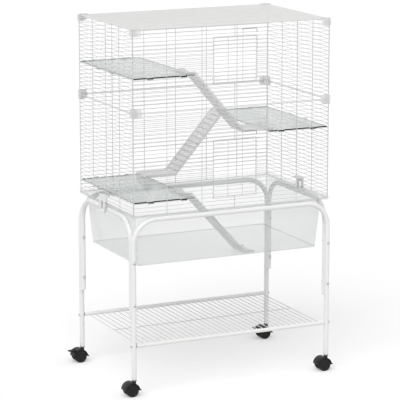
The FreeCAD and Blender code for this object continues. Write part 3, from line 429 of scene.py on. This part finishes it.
def drawn(name, lines, paint, sides=10):
    """Round wires along lines of points; a line is its points, its radius and whether it closes."""
    points = []
    edges = []
    gauges = []
    for line, radius, closed in lines:
        first = len(points)
        points += line
        gauges += [radius] * len(line)
        edges += [(first + step, first + step + 1) for step in range(len(line) - 1)]
        if closed:
            edges.append((len(points) - 1, first))
    mesh = bpy.data.meshes.new(name)
    mesh.from_pydata(points, edges, [])
    gauge = mesh.attributes.new("gauge", "FLOAT", "POINT")
    gauge.data.foreach_set("value", gauges)
    piece = shown(name, mesh)
    modifier = piece.modifiers.new("drawn_wire", "NODES")
    modifier.node_group = drawing
    modifier[sides_input.identifier] = sides
    modifier[coat_input.identifier] = paint
    fixed_mesh(piece)
    piece.data.set_sharp_from_angle(angle=math.radians(wire_crease))
    return piece


def straight(start, end, radius):
    """The line of one straight wire."""
    return [start, end], radius, False


rail_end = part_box("shelf")[1].x
shelf_reach = rail_end - shelf_margin
shelf_lines = []
for step in range(shelf_wires + 1):
    x = -shelf_reach + 2 * shelf_reach * step / shelf_wires
    shelf_lines.append(straight((x, -leg_y, shelf_z), (x, leg_y, shelf_z), shelf_wire_radius))
cross_z = shelf_z - 2 * shelf_wire_radius + weld_sink
shelf_lines.append(straight((-shelf_reach, 0, cross_z), (shelf_reach, 0, cross_z), shelf_wire_radius))
rail_lines = [straight((-rail_end, y, shelf_z), (rail_end, y, shelf_z), rail_radius)
              for y in (-leg_y, leg_y)]
# The shelf wires take the greyer coat with painted shade; the rails take the whiter coat.
belongs(drawn("shelf_wires", shelf_lines, shaded_wire_coat, sides=12), "stand", "white_tube", "shelf")
belongs(drawn("shelf_rails", rail_lines, shelf_coat, sides=28), "stand", "white_tube", "shelf")
finished("shelf_plugs", black_moulding)


# Casters: black moulded hoods on steel stems, with twin wheels on one axle, the treads a shade greyer.
# A plastic socket in each leg's end grips the stem, and the back hoods carry a brake pedal.
hood_edge = 0.0008
tread_black = (0.014, 0.014, 0.0145, 1)
tread_grey = (0.022, 0.022, 0.023, 1)
tread_sheen = 0.2
wheel_radius = half_size("front_left_wheels").z
wheel_outer = half_size("front_left_wheels").y
wheel_inner = 0.008
axle_bore = 0.00305
hub_web = 0.005
bore_end = wheel_outer - hub_web
rim_edge = 0.0165
groove_width = 0.004
groove_depth = 0.001
inner_round = 0.0022
outer_round = 0.0026
round_cut = 1 - math.cos(math.pi / 4)
rim_lip = 0.0008
lip_fall = 0.0004
rim_ring = 0.005
dish_width = 0.004
dish_depth = 0.0012
dish_outer = rim_edge - rim_ring
dish_inner = dish_outer - dish_width
hub_crown = 0.0002
join_gap = 1e-5
flat_within = 1
sliver = 1e-6
edge_crease = 40

tread_rubber = moulded("grey_tread", tread_grey, tread_black, patch=80, roughness=(0.5, 0.65),
                       peel=0.15, peel_scale=2000)
tuned(tread_rubber, "Specular IOR Level", tread_sheen)


def merged(node):
    """A copy of a CAD node's mesh, with its triangles joined into whole faces."""
    made = bmesh.new()
    made.from_mesh(frame["nodes"][node].data)
    bmesh.ops.remove_doubles(made, verts=made.verts, dist=join_gap)
    bmesh.ops.dissolve_limit(made, angle_limit=math.radians(flat_within),
                             verts=made.verts, edges=made.edges)
    return made


def softened(name, made, edge, paint, steps=2):
    """A piece from a merged mesh with its sharp edges rounded and its flat faces left flat."""
    mesh = bpy.data.meshes.new(name)
    made.to_mesh(mesh)
    made.free()
    mesh.shade_smooth()
    mesh.materials.append(paint)
    piece = shown(name, mesh)
    rounding = piece.modifiers.new("rounding", "BEVEL")
    rounding.width = edge
    rounding.segments = steps
    rounding.limit_method = "ANGLE"
    rounding.angle_limit = math.radians(edge_crease)
    rounding.harden_normals = True
    fixed_mesh(piece)
    rounded = bmesh.new()
    rounded.from_mesh(piece.data)
    bmesh.ops.remove_doubles(rounded, verts=rounded.verts, dist=sliver)
    rounded.to_mesh(piece.data)
    rounded.free()
    return piece


def eased(name, node, edge, paint, steps=2):
    """A CAD node's shape with its edges rounded."""
    return softened(name, merged(node), edge, paint, steps)


wheel_form = turned([
    (0, bore_end), (axle_bore, bore_end), (axle_bore, wheel_inner),
    (rim_edge - groove_width, wheel_inner), (rim_edge, wheel_inner + groove_depth),
    (wheel_radius - inner_round, wheel_inner),
    (wheel_radius - inner_round * round_cut, wheel_inner + inner_round * round_cut),
    (wheel_radius, wheel_inner + inner_round), (wheel_radius, wheel_outer - outer_round),
    (wheel_radius - outer_round * round_cut, wheel_outer - outer_round * round_cut),
    (wheel_radius - outer_round, wheel_outer),
    (rim_edge + rim_lip, wheel_outer), (rim_edge, wheel_outer - lip_fall),
    (rim_edge - rim_lip, wheel_outer - dish_depth - lip_fall),
    (dish_outer, wheel_outer - dish_depth), (dish_inner, wheel_outer - dish_depth),
    (dish_inner - rim_lip, wheel_outer - lip_fall), (0, wheel_outer - hub_crown),
], "caster_wheel")
for face in wheel_form.polygons:
    reach = math.hypot(*face.center.xy)
    face.material_index = 1 if reach > rim_edge else 0

for corner in corners:
    hub = Matrix.Translation(middle_of(corner + "_wheels"))
    pair = bmesh.new()
    for facing in (-1, 1):
        half = wheel_form.copy()
        half.transform(hub @ Matrix.Rotation(math.radians(-90 * facing), 4, "X"))
        pair.from_mesh(half)
        bpy.data.meshes.remove(half)
    wheels = bpy.data.meshes.new(corner + "_caster_wheels")
    pair.to_mesh(wheels)
    pair.free()
    wheels.materials.append(black_moulding)
    wheels.materials.append(tread_rubber)
    belongs(shown(corner + "_caster_wheels", wheels),
            corner + "_wheels", "black_plastic", corner + "_wheels")
    belongs(eased(corner + "_caster_hood", corner + "_hood", hood_edge, black_moulding),
            corner + "_swivel", "black_plastic", corner + "_hood")
    finished(corner + "_axle", zinc)
    if corner.startswith("back"):
        belongs(eased(corner + "_brake_pedal", corner + "_brake", hood_edge, black_moulding),
                corner + "_brake", "black_plastic", corner + "_brake")
finished("leg_sockets", black_moulding)
finished("caster_stems", zinc)


# Basin: one deep tub moulded in clear plastic, with rounded bottom edges; its ledge rests on the arches.
# Its upright lip keeps the wire walls in place, and two ears at each side hold the clip's pin.
clear_tint = (0.80, 0.815, 0.82, 1)
clear_face = 0.085
clear_edge = 0.42
# The rounded bottom band of the tub is a greyer, less clear copy of the clear plastic: painted shade where
# the plastic bends.
bend_painted_shade = (0.42, 0.43, 0.43, 1)
edge_face = 0.4
edge_side = 0.6
tint_drift = 0.96
clear_gloss = (0.04, 0.1)
corner_steps = 8
round_steps = 4
tub_wall = 0.003
tub_corner = 0.01
floor_round = 0.004
ledge_thickness = 0.004
lip_height = 0.011
seat_gap = 0.0003
tub_gap = 0.0065
rim_round = 0.0012
shoulder = 0.002
lip_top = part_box("basin")[1].z
ledge_top = lip_top - lip_height
ledge_bottom = ledge_top - ledge_thickness
tub_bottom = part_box("basin")[0].z
lip_x = -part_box("lower_left_wall")[0].x + seat_gap
lip_y = -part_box("lower_front_wall")[0].y + seat_gap
lip_thickness = 0.003
rim_corner = 0.005
tub_x = leg_x - tube_radius - tub_gap
tub_y = leg_y - tube_radius - tub_gap
tub_taper = 0.016
tub_slope = tub_taper / (ledge_top - tub_bottom)


def clear(name, tint, face, edge, rough):
    """Clear plastic: little shows where it is seen square on, and more towards its edges."""
    thicker = tuple(channel * tint_drift for channel in tint[:3]) + (1,)
    paint = moulded(name, tint, thicker, patch=6, roughness=rough, peel=0.02, peel_scale=60)
    nodes, links = paint.node_tree.nodes, paint.node_tree.links
    skin = nodes["Principled BSDF"]
    skin.inputs["IOR"].default_value = 1.5
    slant = nodes.new("ShaderNodeLayerWeight")
    slant.inputs["Blend"].default_value = 0.35
    body = nodes.new("ShaderNodeMapRange")
    body.inputs["To Min"].default_value = face
    body.inputs["To Max"].default_value = edge
    links.new(slant.outputs["Facing"], body.inputs["Value"])
    links.new(body.outputs["Result"], skin.inputs["Alpha"])
    return paint


def quarter(turn, steps):
    """Cosines and sines along a quarter circle, which starts after some quarter turns."""
    angles = [math.pi / 2 * (turn + step / steps) for step in range(steps + 1)]
    return [(math.cos(angle), math.sin(angle)) for angle in angles]


def oblong(half_x, half_y, radius, height):
    """The points of a rectangle with rounded corners."""
    points = []
    for turn, (sx, sy) in enumerate(((1, 1), (-1, 1), (-1, -1), (1, -1))):
        for across, along in quarter(turn, corner_steps):
            points.append((sx * (half_x - radius) + radius * across,
                           sy * (half_y - radius) + radius * along, height))
    return points


def tub_ring(inset, height, tucked=0):
    """The outline of the leaning tub at a height, set in from its outside."""
    lean = tub_slope * (ledge_top - height) + inset + tucked
    return oblong(tub_x - lean, tub_y - lean, tub_corner - inset, height)


tub_rings = []
for run, rise in quarter(0, round_steps):
    tub_rings.append(tub_ring(0, tub_bottom + floor_round * (1 - run), floor_round * (1 - rise)))
rim_x = lip_x + lip_thickness
rim_y = lip_y + lip_thickness
seat_corner = rim_corner - lip_thickness
tub_rings += [
    tub_ring(0, ledge_bottom - shoulder),
    oblong(tub_x + shoulder, tub_y + shoulder, tub_corner, ledge_bottom),
    oblong(rim_x - rim_round, rim_y - rim_round, rim_corner, ledge_bottom),
    oblong(rim_x, rim_y, rim_corner, ledge_bottom + rim_round),
    oblong(rim_x, rim_y, rim_corner, lip_top - rim_round),
    oblong(rim_x - rim_round, rim_y - rim_round, rim_corner - rim_round, lip_top),
    oblong(lip_x + rim_round, lip_y + rim_round, seat_corner + rim_round, lip_top),
    oblong(lip_x, lip_y, seat_corner, lip_top - rim_round),
    oblong(lip_x, lip_y, seat_corner, ledge_top),
    oblong(tub_x - tub_wall + shoulder, tub_y - tub_wall + shoulder, tub_corner - tub_wall, ledge_top),
    tub_ring(tub_wall, ledge_top - shoulder),
]
for run, rise in quarter(0, round_steps):
    tub_rings.append(tub_ring(tub_wall, tub_bottom + tub_wall + floor_round * (1 - rise),
                              floor_round * (1 - run)))
tub_mesh = bmesh.new()
tub_loops = [[tub_mesh.verts.new(point) for point in ring] for ring in tub_rings]
for band, (lower, upper) in enumerate(zip(tub_loops, tub_loops[1:])):
    for step in range(len(lower)):
        after = (step + 1) % len(lower)
        face = tub_mesh.faces.new((lower[step], lower[after], upper[after], upper[step]))
        # The rounded bottom bands take the painted shade, the rest the plain clear plastic.
        face.material_index = 1 if band < round_steps else 0
tub_mesh.faces.new(reversed(tub_loops[0]))
tub_mesh.faces.new(tub_loops[-1])

pin_radius = 0.0015
clip_x = half_size("clip_pins").x - pin_radius
clip_z = middle_of("clip_pins").z
ear_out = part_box("clip_pins")[1].y
ear_thickness = 0.004
ear_radius = 0.004
ear_sink = 0.0005
ear_web = 0.005
ear_in = ear_out - ear_thickness
ear_back = clip_x - ear_web
ear_shape = [
    (rim_x - ear_sink, ledge_bottom + ear_sink), (ear_back, ledge_bottom + ear_sink),
    (ear_back, clip_z - ear_radius / 2), (ear_back + ear_radius / 2, clip_z - ear_radius),
    (clip_x + ear_radius / 2, clip_z - ear_radius), (clip_x + ear_radius, clip_z - ear_radius / 2),
    (clip_x + ear_radius, ledge_bottom), (rim_x - ear_sink, lip_top - rim_round),
]
for side in (-1, 1):
    for low_y, high_y in ((-ear_out, -ear_in), (ear_in, ear_out)):
        near = [tub_mesh.verts.new((side * x, low_y, z)) for x, z in ear_shape]
        far = [tub_mesh.verts.new((side * x, high_y, z)) for x, z in ear_shape]
        tub_mesh.faces.new(near)
        tub_mesh.faces.new(far)
        for step in range(len(near)):
            after = (step + 1) % len(near)
            tub_mesh.faces.new((near[step], near[after], far[after], far[step]))
bmesh.ops.recalc_face_normals(tub_mesh, faces=tub_mesh.faces)
tub_data = bpy.data.meshes.new("basin_tub")
tub_mesh.to_mesh(tub_data)
tub_mesh.free()
tub_data.shade_smooth()
tub_data.set_sharp_from_angle(angle=math.radians(edge_crease))
tub_data.materials.append(clear("clear_tub", clear_tint, clear_face, clear_edge, clear_gloss))
tub_data.materials.append(clear("clear_tub_painted_shade", bend_painted_shade, edge_face, edge_side, clear_gloss))
belongs(shown("basin_tub", tub_data), "stand", "clear_basin", "basin")


# Side clips: white moulded straps that turn on a steel pin between the basin's ears.
# The hooked top snaps over a wire of the side wall and holds the wire body down.
clip_white = (0.9, 0.9, 0.89, 1)
clip_shade = (0.84, 0.84, 0.83, 1)
clip_edge = 0.0012
clip_moulding = moulded("white_moulding", clip_white, clip_shade, patch=30, roughness=(0.25, 0.4),
                        peel=0.06, peel_scale=1500)
for clip in ("left_clip", "right_clip"):
    belongs(eased(clip + "_strap", clip, clip_edge, clip_moulding, steps=3), clip, "white_plastic", clip)
finished("clip_pins", zinc)


# Wire walls and top: round wires welded into nets, rows outside and posts inside, in a bent border wire.
# The front walls have a framed doorway, and all of it is powder coated white.
border_inset = 0.002
border_radius = 0.0013
row_radius = 0.001
post_radius = 0.0012
post_depth = 0.0026
border_bend = 0.006
bend_steps = 4
front_columns = 6
side_columns = 4
row_pitch = 0.015
tier_rows = {"lower": 25, "upper": 20}
doorway_rows = {"lower": (3, 17), "upper": (6, 17)}
doorway_post = 0.086
door_offset = 0.008


def bent_border(point, left, right, low, high, bend, depth):
    """A rectangle of wire with bent corners."""
    line = []
    for turn, (u, v) in enumerate(((right, high), (left, high), (left, low), (right, low))):
        inner_u = u - bend if u == right else u + bend
        inner_v = v - bend if v == high else v + bend
        for across, up in quarter(turn, bend_steps):
            line.append(point(inner_u + bend * across, inner_v + bend * up, depth))
    return line


def net(point, width, height, rows, columns, doorway=None):
    """The wires of one wall: its border, rows and posts, and the frame of its doorway."""
    edge = border_inset
    row_step = (height - 2 * edge) / rows
    column_step = (width - 2 * edge) / columns
    middle = width / 2 + (door_offset if doorway else 0)
    border = bent_border(point, edge, width - edge, edge, height - edge, border_bend, border_radius)
    lines = [(border, border_radius, True)]
    low_row, high_row = doorway or (rows, rows)
    for row in range(1, rows):
        v = edge + row * row_step
        spans = [(edge, width - edge)]
        if low_row < row < high_row:
            spans = [(edge, middle - doorway_post), (middle + doorway_post, width - edge)]
        lines += [straight(point(a, v, row_radius), point(b, v, row_radius), row_radius) for a, b in spans]
    low_v = edge + low_row * row_step
    high_v = edge + high_row * row_step
    for column in range(1, columns):
        u = edge + column * column_step
        if doorway and 1 < column < columns - 1:
            u += door_offset
        spans = [(edge, height - edge)]
        if doorway and abs(u - middle) < doorway_post:
            spans = [(edge, low_v), (high_v, height - edge)]
        lines += [straight(point(u, a, post_depth), point(u, b, post_depth), post_radius) for a, b in spans]
    if doorway:
        around = bent_border(point, middle - doorway_post, middle + doorway_post, low_v, high_v,
                             border_bend, row_radius)
        lines.append((around, row_radius, True))
    return lines


# The wall wires take the greyer coat with painted shade; the top keeps the whiter coat.
for tier, rows in tier_rows.items():
    for wall, columns in (("front", front_columns), ("back", front_columns),
                          ("left", side_columns), ("right", side_columns)):
        node = f"{tier}_{wall}_wall"
        low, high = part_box(node)
        points = {
            "front": lambda u, v, d: (low.x + u, low.y + d, low.z + v),
            "back": lambda u, v, d: (low.x + u, high.y - d, low.z + v),
            "left": lambda u, v, d: (low.x + d, low.y + u, low.z + v),
            "right": lambda u, v, d: (high.x - d, low.y + u, low.z + v),
        }
        width = high.x - low.x if columns == front_columns else high.y - low.y
        doorway = doorway_rows[tier] if wall == "front" else None
        lines = net(points[wall], width, high.z - low.z, rows, columns, doorway)
        belongs(drawn(node + "_wires", lines, shaded_wire_coat), "stand", "white_wire", node)
low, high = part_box("top_wall")
top_rows = round((high.y - low.y - 2 * border_inset) / row_pitch)
top_lines = net(lambda u, v, d: (low.x + u, low.y + v, high.z - d), high.x - low.x, high.y - low.y,
                top_rows, front_columns)
belongs(drawn("top_wall_wires", top_lines, shelf_coat), "stand", "white_wire", "top_wall")


# Doors: small nets that hang on a straight bar in pressed steel brackets and overlap the doorway.
# A bent, plated wire latch turns on a stud, which a tang carries above the top of each door.
door_columns = 3
door_half = 0.089
door_wire = 0.001
door_border = 0.001
hinge_radius = 0.0014
stud_radius = 0.0015
stud_head = 0.003
latch_pad = 0.009
latch_above_top = 0.023
latch_wire = 0.0011
latch_loop = 0.0028
latch_drop = 0.014
latch_bend = 0.004
bend_share = 0.3
loop_start = 20
loop_sweep = 330
loop_steps = 16
rung_out = 0.0004
post_in = 0.0006
bracket_edge = 0.0003
pivots = {joint["name"]: Vector(joint["pos_m"]) for joint in frame["joints"]}
door_y = pivots["upper_door_hinge"].y
latch_y = pivots["upper_latch_pivot"].y
latch_light = (0.26, 0.26, 0.26, 1)
latch_dark = (0.18, 0.18, 0.185, 1)
latch_plate = moulded("dull_plate", latch_light, latch_dark, patch=220, roughness=(0.3, 0.45),
                      peel=0.08, peel_scale=2500)
tuned(latch_plate, "Metallic", 1.0)

for tier, (low_row, high_row) in doorway_rows.items():
    low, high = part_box(tier + "_door")
    hinge_x = door_offset - door_half
    door_edge = door_offset + door_half
    latch_z = high.z - latch_pad / 2
    door_top = latch_z - latch_above_top
    rungs = high_row - low_row + 1
    lines = [straight((hinge_x, door_y, low.z), (hinge_x, door_y, door_top), hinge_radius)]
    frame_low = low.z + door_border
    frame_high = door_top - door_border
    bend_x = door_edge - door_border - border_bend
    frame_line = [(hinge_x, door_y, frame_low)]
    for turn, bend_z in ((3, frame_low + border_bend), (0, frame_high - border_bend)):
        frame_line += [(bend_x + border_bend * across, door_y, bend_z + border_bend * up)
                       for across, up in quarter(turn, bend_steps)]
    frame_line.append((hinge_x, door_y, frame_high))
    lines.append((frame_line, door_border, False))
    rung_y = door_y - rung_out
    for rung in range(1, rungs):
        z = frame_low + rung * (frame_high - frame_low) / rungs
        lines.append(straight((hinge_x, rung_y, z), (door_edge - door_border, rung_y, z), door_wire))
    post_y = door_y + post_in
    column_step = (door_edge - hinge_x) / door_columns
    post_x = [hinge_x + column * column_step for column in range(1, door_columns)]
    latch_x = post_x[-1]
    for x in post_x:
        post_top = latch_z if x == latch_x else frame_high
        lines.append(straight((x, post_y, frame_low), (x, post_y, post_top), door_wire))
    stud_foot = door_y + door_wire
    stud_neck = latch_y - latch_wire - weld_sink
    stud_steps = ((stud_foot, door_y - door_wire, stud_head), (stud_foot, stud_neck, stud_radius),
                  (stud_neck, stud_neck - door_wire, stud_head))
    for start, end, radius in stud_steps:
        lines.append(straight((latch_x, start, latch_z), (latch_x, end, latch_z), radius))
    # The door nets take the greyer coat with painted shade.
    belongs(drawn(tier + "_door_net", lines, shaded_wire_coat, sides=12),
            tier + "_door", "white_wire", tier + "_door")

    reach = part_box(tier + "_latch")[1].x - latch_wire
    lever = []
    for step in range(loop_steps + 1):
        angle = math.radians(loop_start + loop_sweep * step / loop_steps)
        lever.append((latch_x + latch_loop * math.cos(angle), latch_y,
                      latch_z + latch_loop * math.sin(angle)))
    bend_out = latch_bend * bend_share
    arm = ((latch_x + 2 * latch_loop, 0), (reach - latch_bend, 0), (reach - bend_out, bend_out),
           (reach, latch_bend), (reach, latch_drop))
    lever += [(along, latch_y, latch_z - down) for along, down in arm]
    belongs(drawn(tier + "_latch_lever", [(lever, latch_wire, False)], latch_plate, sides=12),
            tier + "_latch", "steel", tier + "_latch")
belongs(eased("door_hinge_brackets", "hinge_brackets", bracket_edge, shelf_coat),
        "stand", "white_wire", "hinge_brackets")


# Tier clips and corner caps: frosted plastic angles that grip the corner wires from both sides.
# Their ends and edges are rounded, and light shows through them.
frost_light = (0.90, 0.905, 0.90, 1)
frost_dark = (0.83, 0.835, 0.83, 1)
clip_wall = 0.003
clip_end_round = 0.009
clip_end_steps = 5
clip_round = 0.001
clip_slack = 0.0001
clip_body = {"tier_clips": 0.6, "corner_caps": 0.45}
for node, body in clip_body.items():
    frosted = moulded("frosted_" + node, frost_light, frost_dark, patch=40, roughness=(0.3, 0.45),
                      peel=0.08, peel_scale=1400)
    tuned(frosted, "Alpha", body)
    low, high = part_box(node)
    angles = merged(node)
    ends = [edge for edge in angles.edges if abs(edge.calc_length() - clip_wall) < clip_slack
            and all(min(vert.co.z - low.z, high.z - vert.co.z) < clip_slack for vert in edge.verts)]
    bmesh.ops.bevel(angles, geom=ends, offset=clip_end_round, segments=clip_end_steps,
                    profile=0.5, affect="EDGES")
    belongs(softened(node + "_set", angles, clip_round, frosted, steps=3), "stand", "frosted_clip", node)


# Decks: clear sheets that lie on the wires, their tabs pushed out through the walls and turned down.
# They are almost clear. Their front and back edges are painted near black and their ends and hooked parts a
# paler grey: painted reflection in the cut edges of the clear sheet.
deck_tint = (0.63, 0.675, 0.675, 1)
# Painted reflection: near black for the front and back cut edges, a paler grey for the ends and hooked
# parts.
edge_reflection_light = (0.012, 0.014, 0.0145, 1)
edge_reflection_dark = (0.006, 0.007, 0.0075, 1)
edge_sheen = 0.1
end_reflection_light = (0.42, 0.44, 0.44, 1)
end_reflection_dark = (0.33, 0.35, 0.35, 1)
deck_thickness = 0.005
deck_half = 0.24
deck_round = 0.0006
hook_length = 0.03
deck_face = 0.32
deck_side = 0.62
end_body = 0.7
deck_gloss = (0.05, 0.12)
upright = 0.5
deck_plastic = clear("clear_deck", deck_tint, deck_face, deck_side, deck_gloss)
painted_edge_reflection = moulded("painted_edge_reflection", edge_reflection_light, edge_reflection_dark, patch=20, roughness=(0.1, 0.2),
                   peel=0.02, peel_scale=400)
tuned(painted_edge_reflection, "Specular IOR Level", edge_sheen)
painted_end_reflection = moulded("painted_end_reflection", end_reflection_light, end_reflection_dark, patch=20, roughness=(0.1, 0.2),
                  peel=0.02, peel_scale=400)
tuned(painted_end_reflection, "Alpha", end_body)
for deck in ("upper_deck", "middle_deck", "lower_deck"):
    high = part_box(deck)[1]
    under = high.z - deck_thickness
    hooked = high.x - hook_length if high.x < 0 else high.x
    form = merged(deck)
    for place, facing in (((0, 0, under), (0, 0, 1)), ((hooked, 0, 0), (1, 0, 0))):
        bmesh.ops.bisect_plane(form, geom=form.verts[:] + form.edges[:] + form.faces[:], dist=join_gap,
                               plane_co=place, plane_no=facing)
    sheet = softened(deck + "_sheet", form, deck_round, deck_plastic)
    sheet.data.materials.append(painted_edge_reflection)
    sheet.data.materials.append(painted_end_reflection)
    # The front and back cut faces get the dark painted reflection, the other cut faces the paler one.
    for face in sheet.data.polygons:
        cut = abs(face.normal.z) < upright and face.center.z > under
        along = abs(face.normal.y) > abs(face.normal.x) and abs(face.center.y) > deck_half
        dark = along and face.center.x < hooked
        face.material_index = (1 if dark else 2) if cut else 0
    belongs(sheet, "stand", "clear_deck", deck)


# Ramps: bent sheets of frosted plastic with raised treads and a low curb along each side.
# Each hooks over the edge of one deck and rests on the deck or basin below; its treads are painted on the
# slope as darker bands, painted shade of the treads seen through the sheet.
ramp_light = (0.93, 0.935, 0.93, 1)
ramp_dark = (0.87, 0.875, 0.87, 1)
curb_light = (0.82, 0.825, 0.82, 1)
curb_dark = (0.75, 0.755, 0.75, 1)
tread_painted_shade = (0.58, 0.585, 0.58, 1)
tread_pitch = 0.02
tread_share = 0.3
ramp_body = 0.62
ramp_round = 0.0008
slanted = 0.3
sideways = 0.7
descends = {"upper_ramp": 1, "middle_ramp": -1, "lower_ramp": 1}


def ribbed(paint, along, first):
    """Paints shade on a finish in darker bands along a slope, one for each tread from the first."""
    nodes, links = paint.node_tree.nodes, paint.node_tree.links
    skin = nodes["Principled BSDF"]
    place = nodes.new("ShaderNodeTexCoord")
    run = nodes.new("ShaderNodeVectorMath")
    run.operation = "DOT_PRODUCT"
    run.inputs[1].default_value = along / tread_pitch
    links.new(place.outputs["Object"], run.inputs[0])
    start = nodes.new("ShaderNodeMath")
    start.operation = "SUBTRACT"
    start.inputs[1].default_value = first / tread_pitch
    links.new(run.outputs["Value"], start.inputs[0])
    part = nodes.new("ShaderNodeMath")
    part.operation = "FRACT"
    links.new(start.outputs[0], part.inputs[0])
    band = nodes.new("ShaderNodeMath")
    band.operation = "LESS_THAN"
    band.inputs[1].default_value = tread_share
    links.new(part.outputs[0], band.inputs[0])
    tone = nodes.new("ShaderNodeMix")
    tone.data_type = "RGBA"
    tone.inputs["B"].default_value = tread_painted_shade
    links.new(skin.inputs["Base Color"].links[0].from_socket, tone.inputs["A"])
    links.new(band.outputs[0], tone.inputs["Factor"])
    links.new(tone.outputs["Result"], skin.inputs["Base Color"])


def ramp_sheet(name):
    """The frosted plastic of a ramp, which lets some light through."""
    paint = moulded(name, ramp_light, ramp_dark, patch=25, roughness=(0.3, 0.45),
                    peel=0.08, peel_scale=1200)
    tuned(paint, "Alpha", ramp_body)
    return paint


ramp_plastic = ramp_sheet("frosted_ramp")
curb_edge = moulded("ramp_curb", curb_light, curb_dark, patch=25, roughness=(0.25, 0.4),
                    peel=0.05, peel_scale=1200)
tuned(curb_edge, "Alpha", ramp_body)
for ramp, way in descends.items():
    sheet = eased(ramp + "_sheet", ramp, ramp_round, ramp_plastic)
    risers = [face for face in sheet.data.polygons if face.normal.x * face.normal.z * way < -slanted]
    widest = max(risers, key=lambda face: face.area)
    along = widest.normal if widest.normal.z < 0 else -widest.normal
    fronts = [face for face in risers if face.normal.z > 0 and face.area > widest.area / 2]
    starts = [face.center.dot(along) for face in fronts]
    # The slope faces get the bands of painted shade.
    slope = ramp_sheet(ramp + "_slope")
    ribbed(slope, along, min(starts))
    sheet.data.materials.append(curb_edge)
    sheet.data.materials.append(slope)
    for face in sheet.data.polygons:
        if abs(face.normal.y) > sideways:
            face.material_index = 1
        elif abs(face.normal.x * face.normal.z) > slanted:
            face.material_index = 2
    belongs(sheet, "stand", "grey_ramp", ramp)
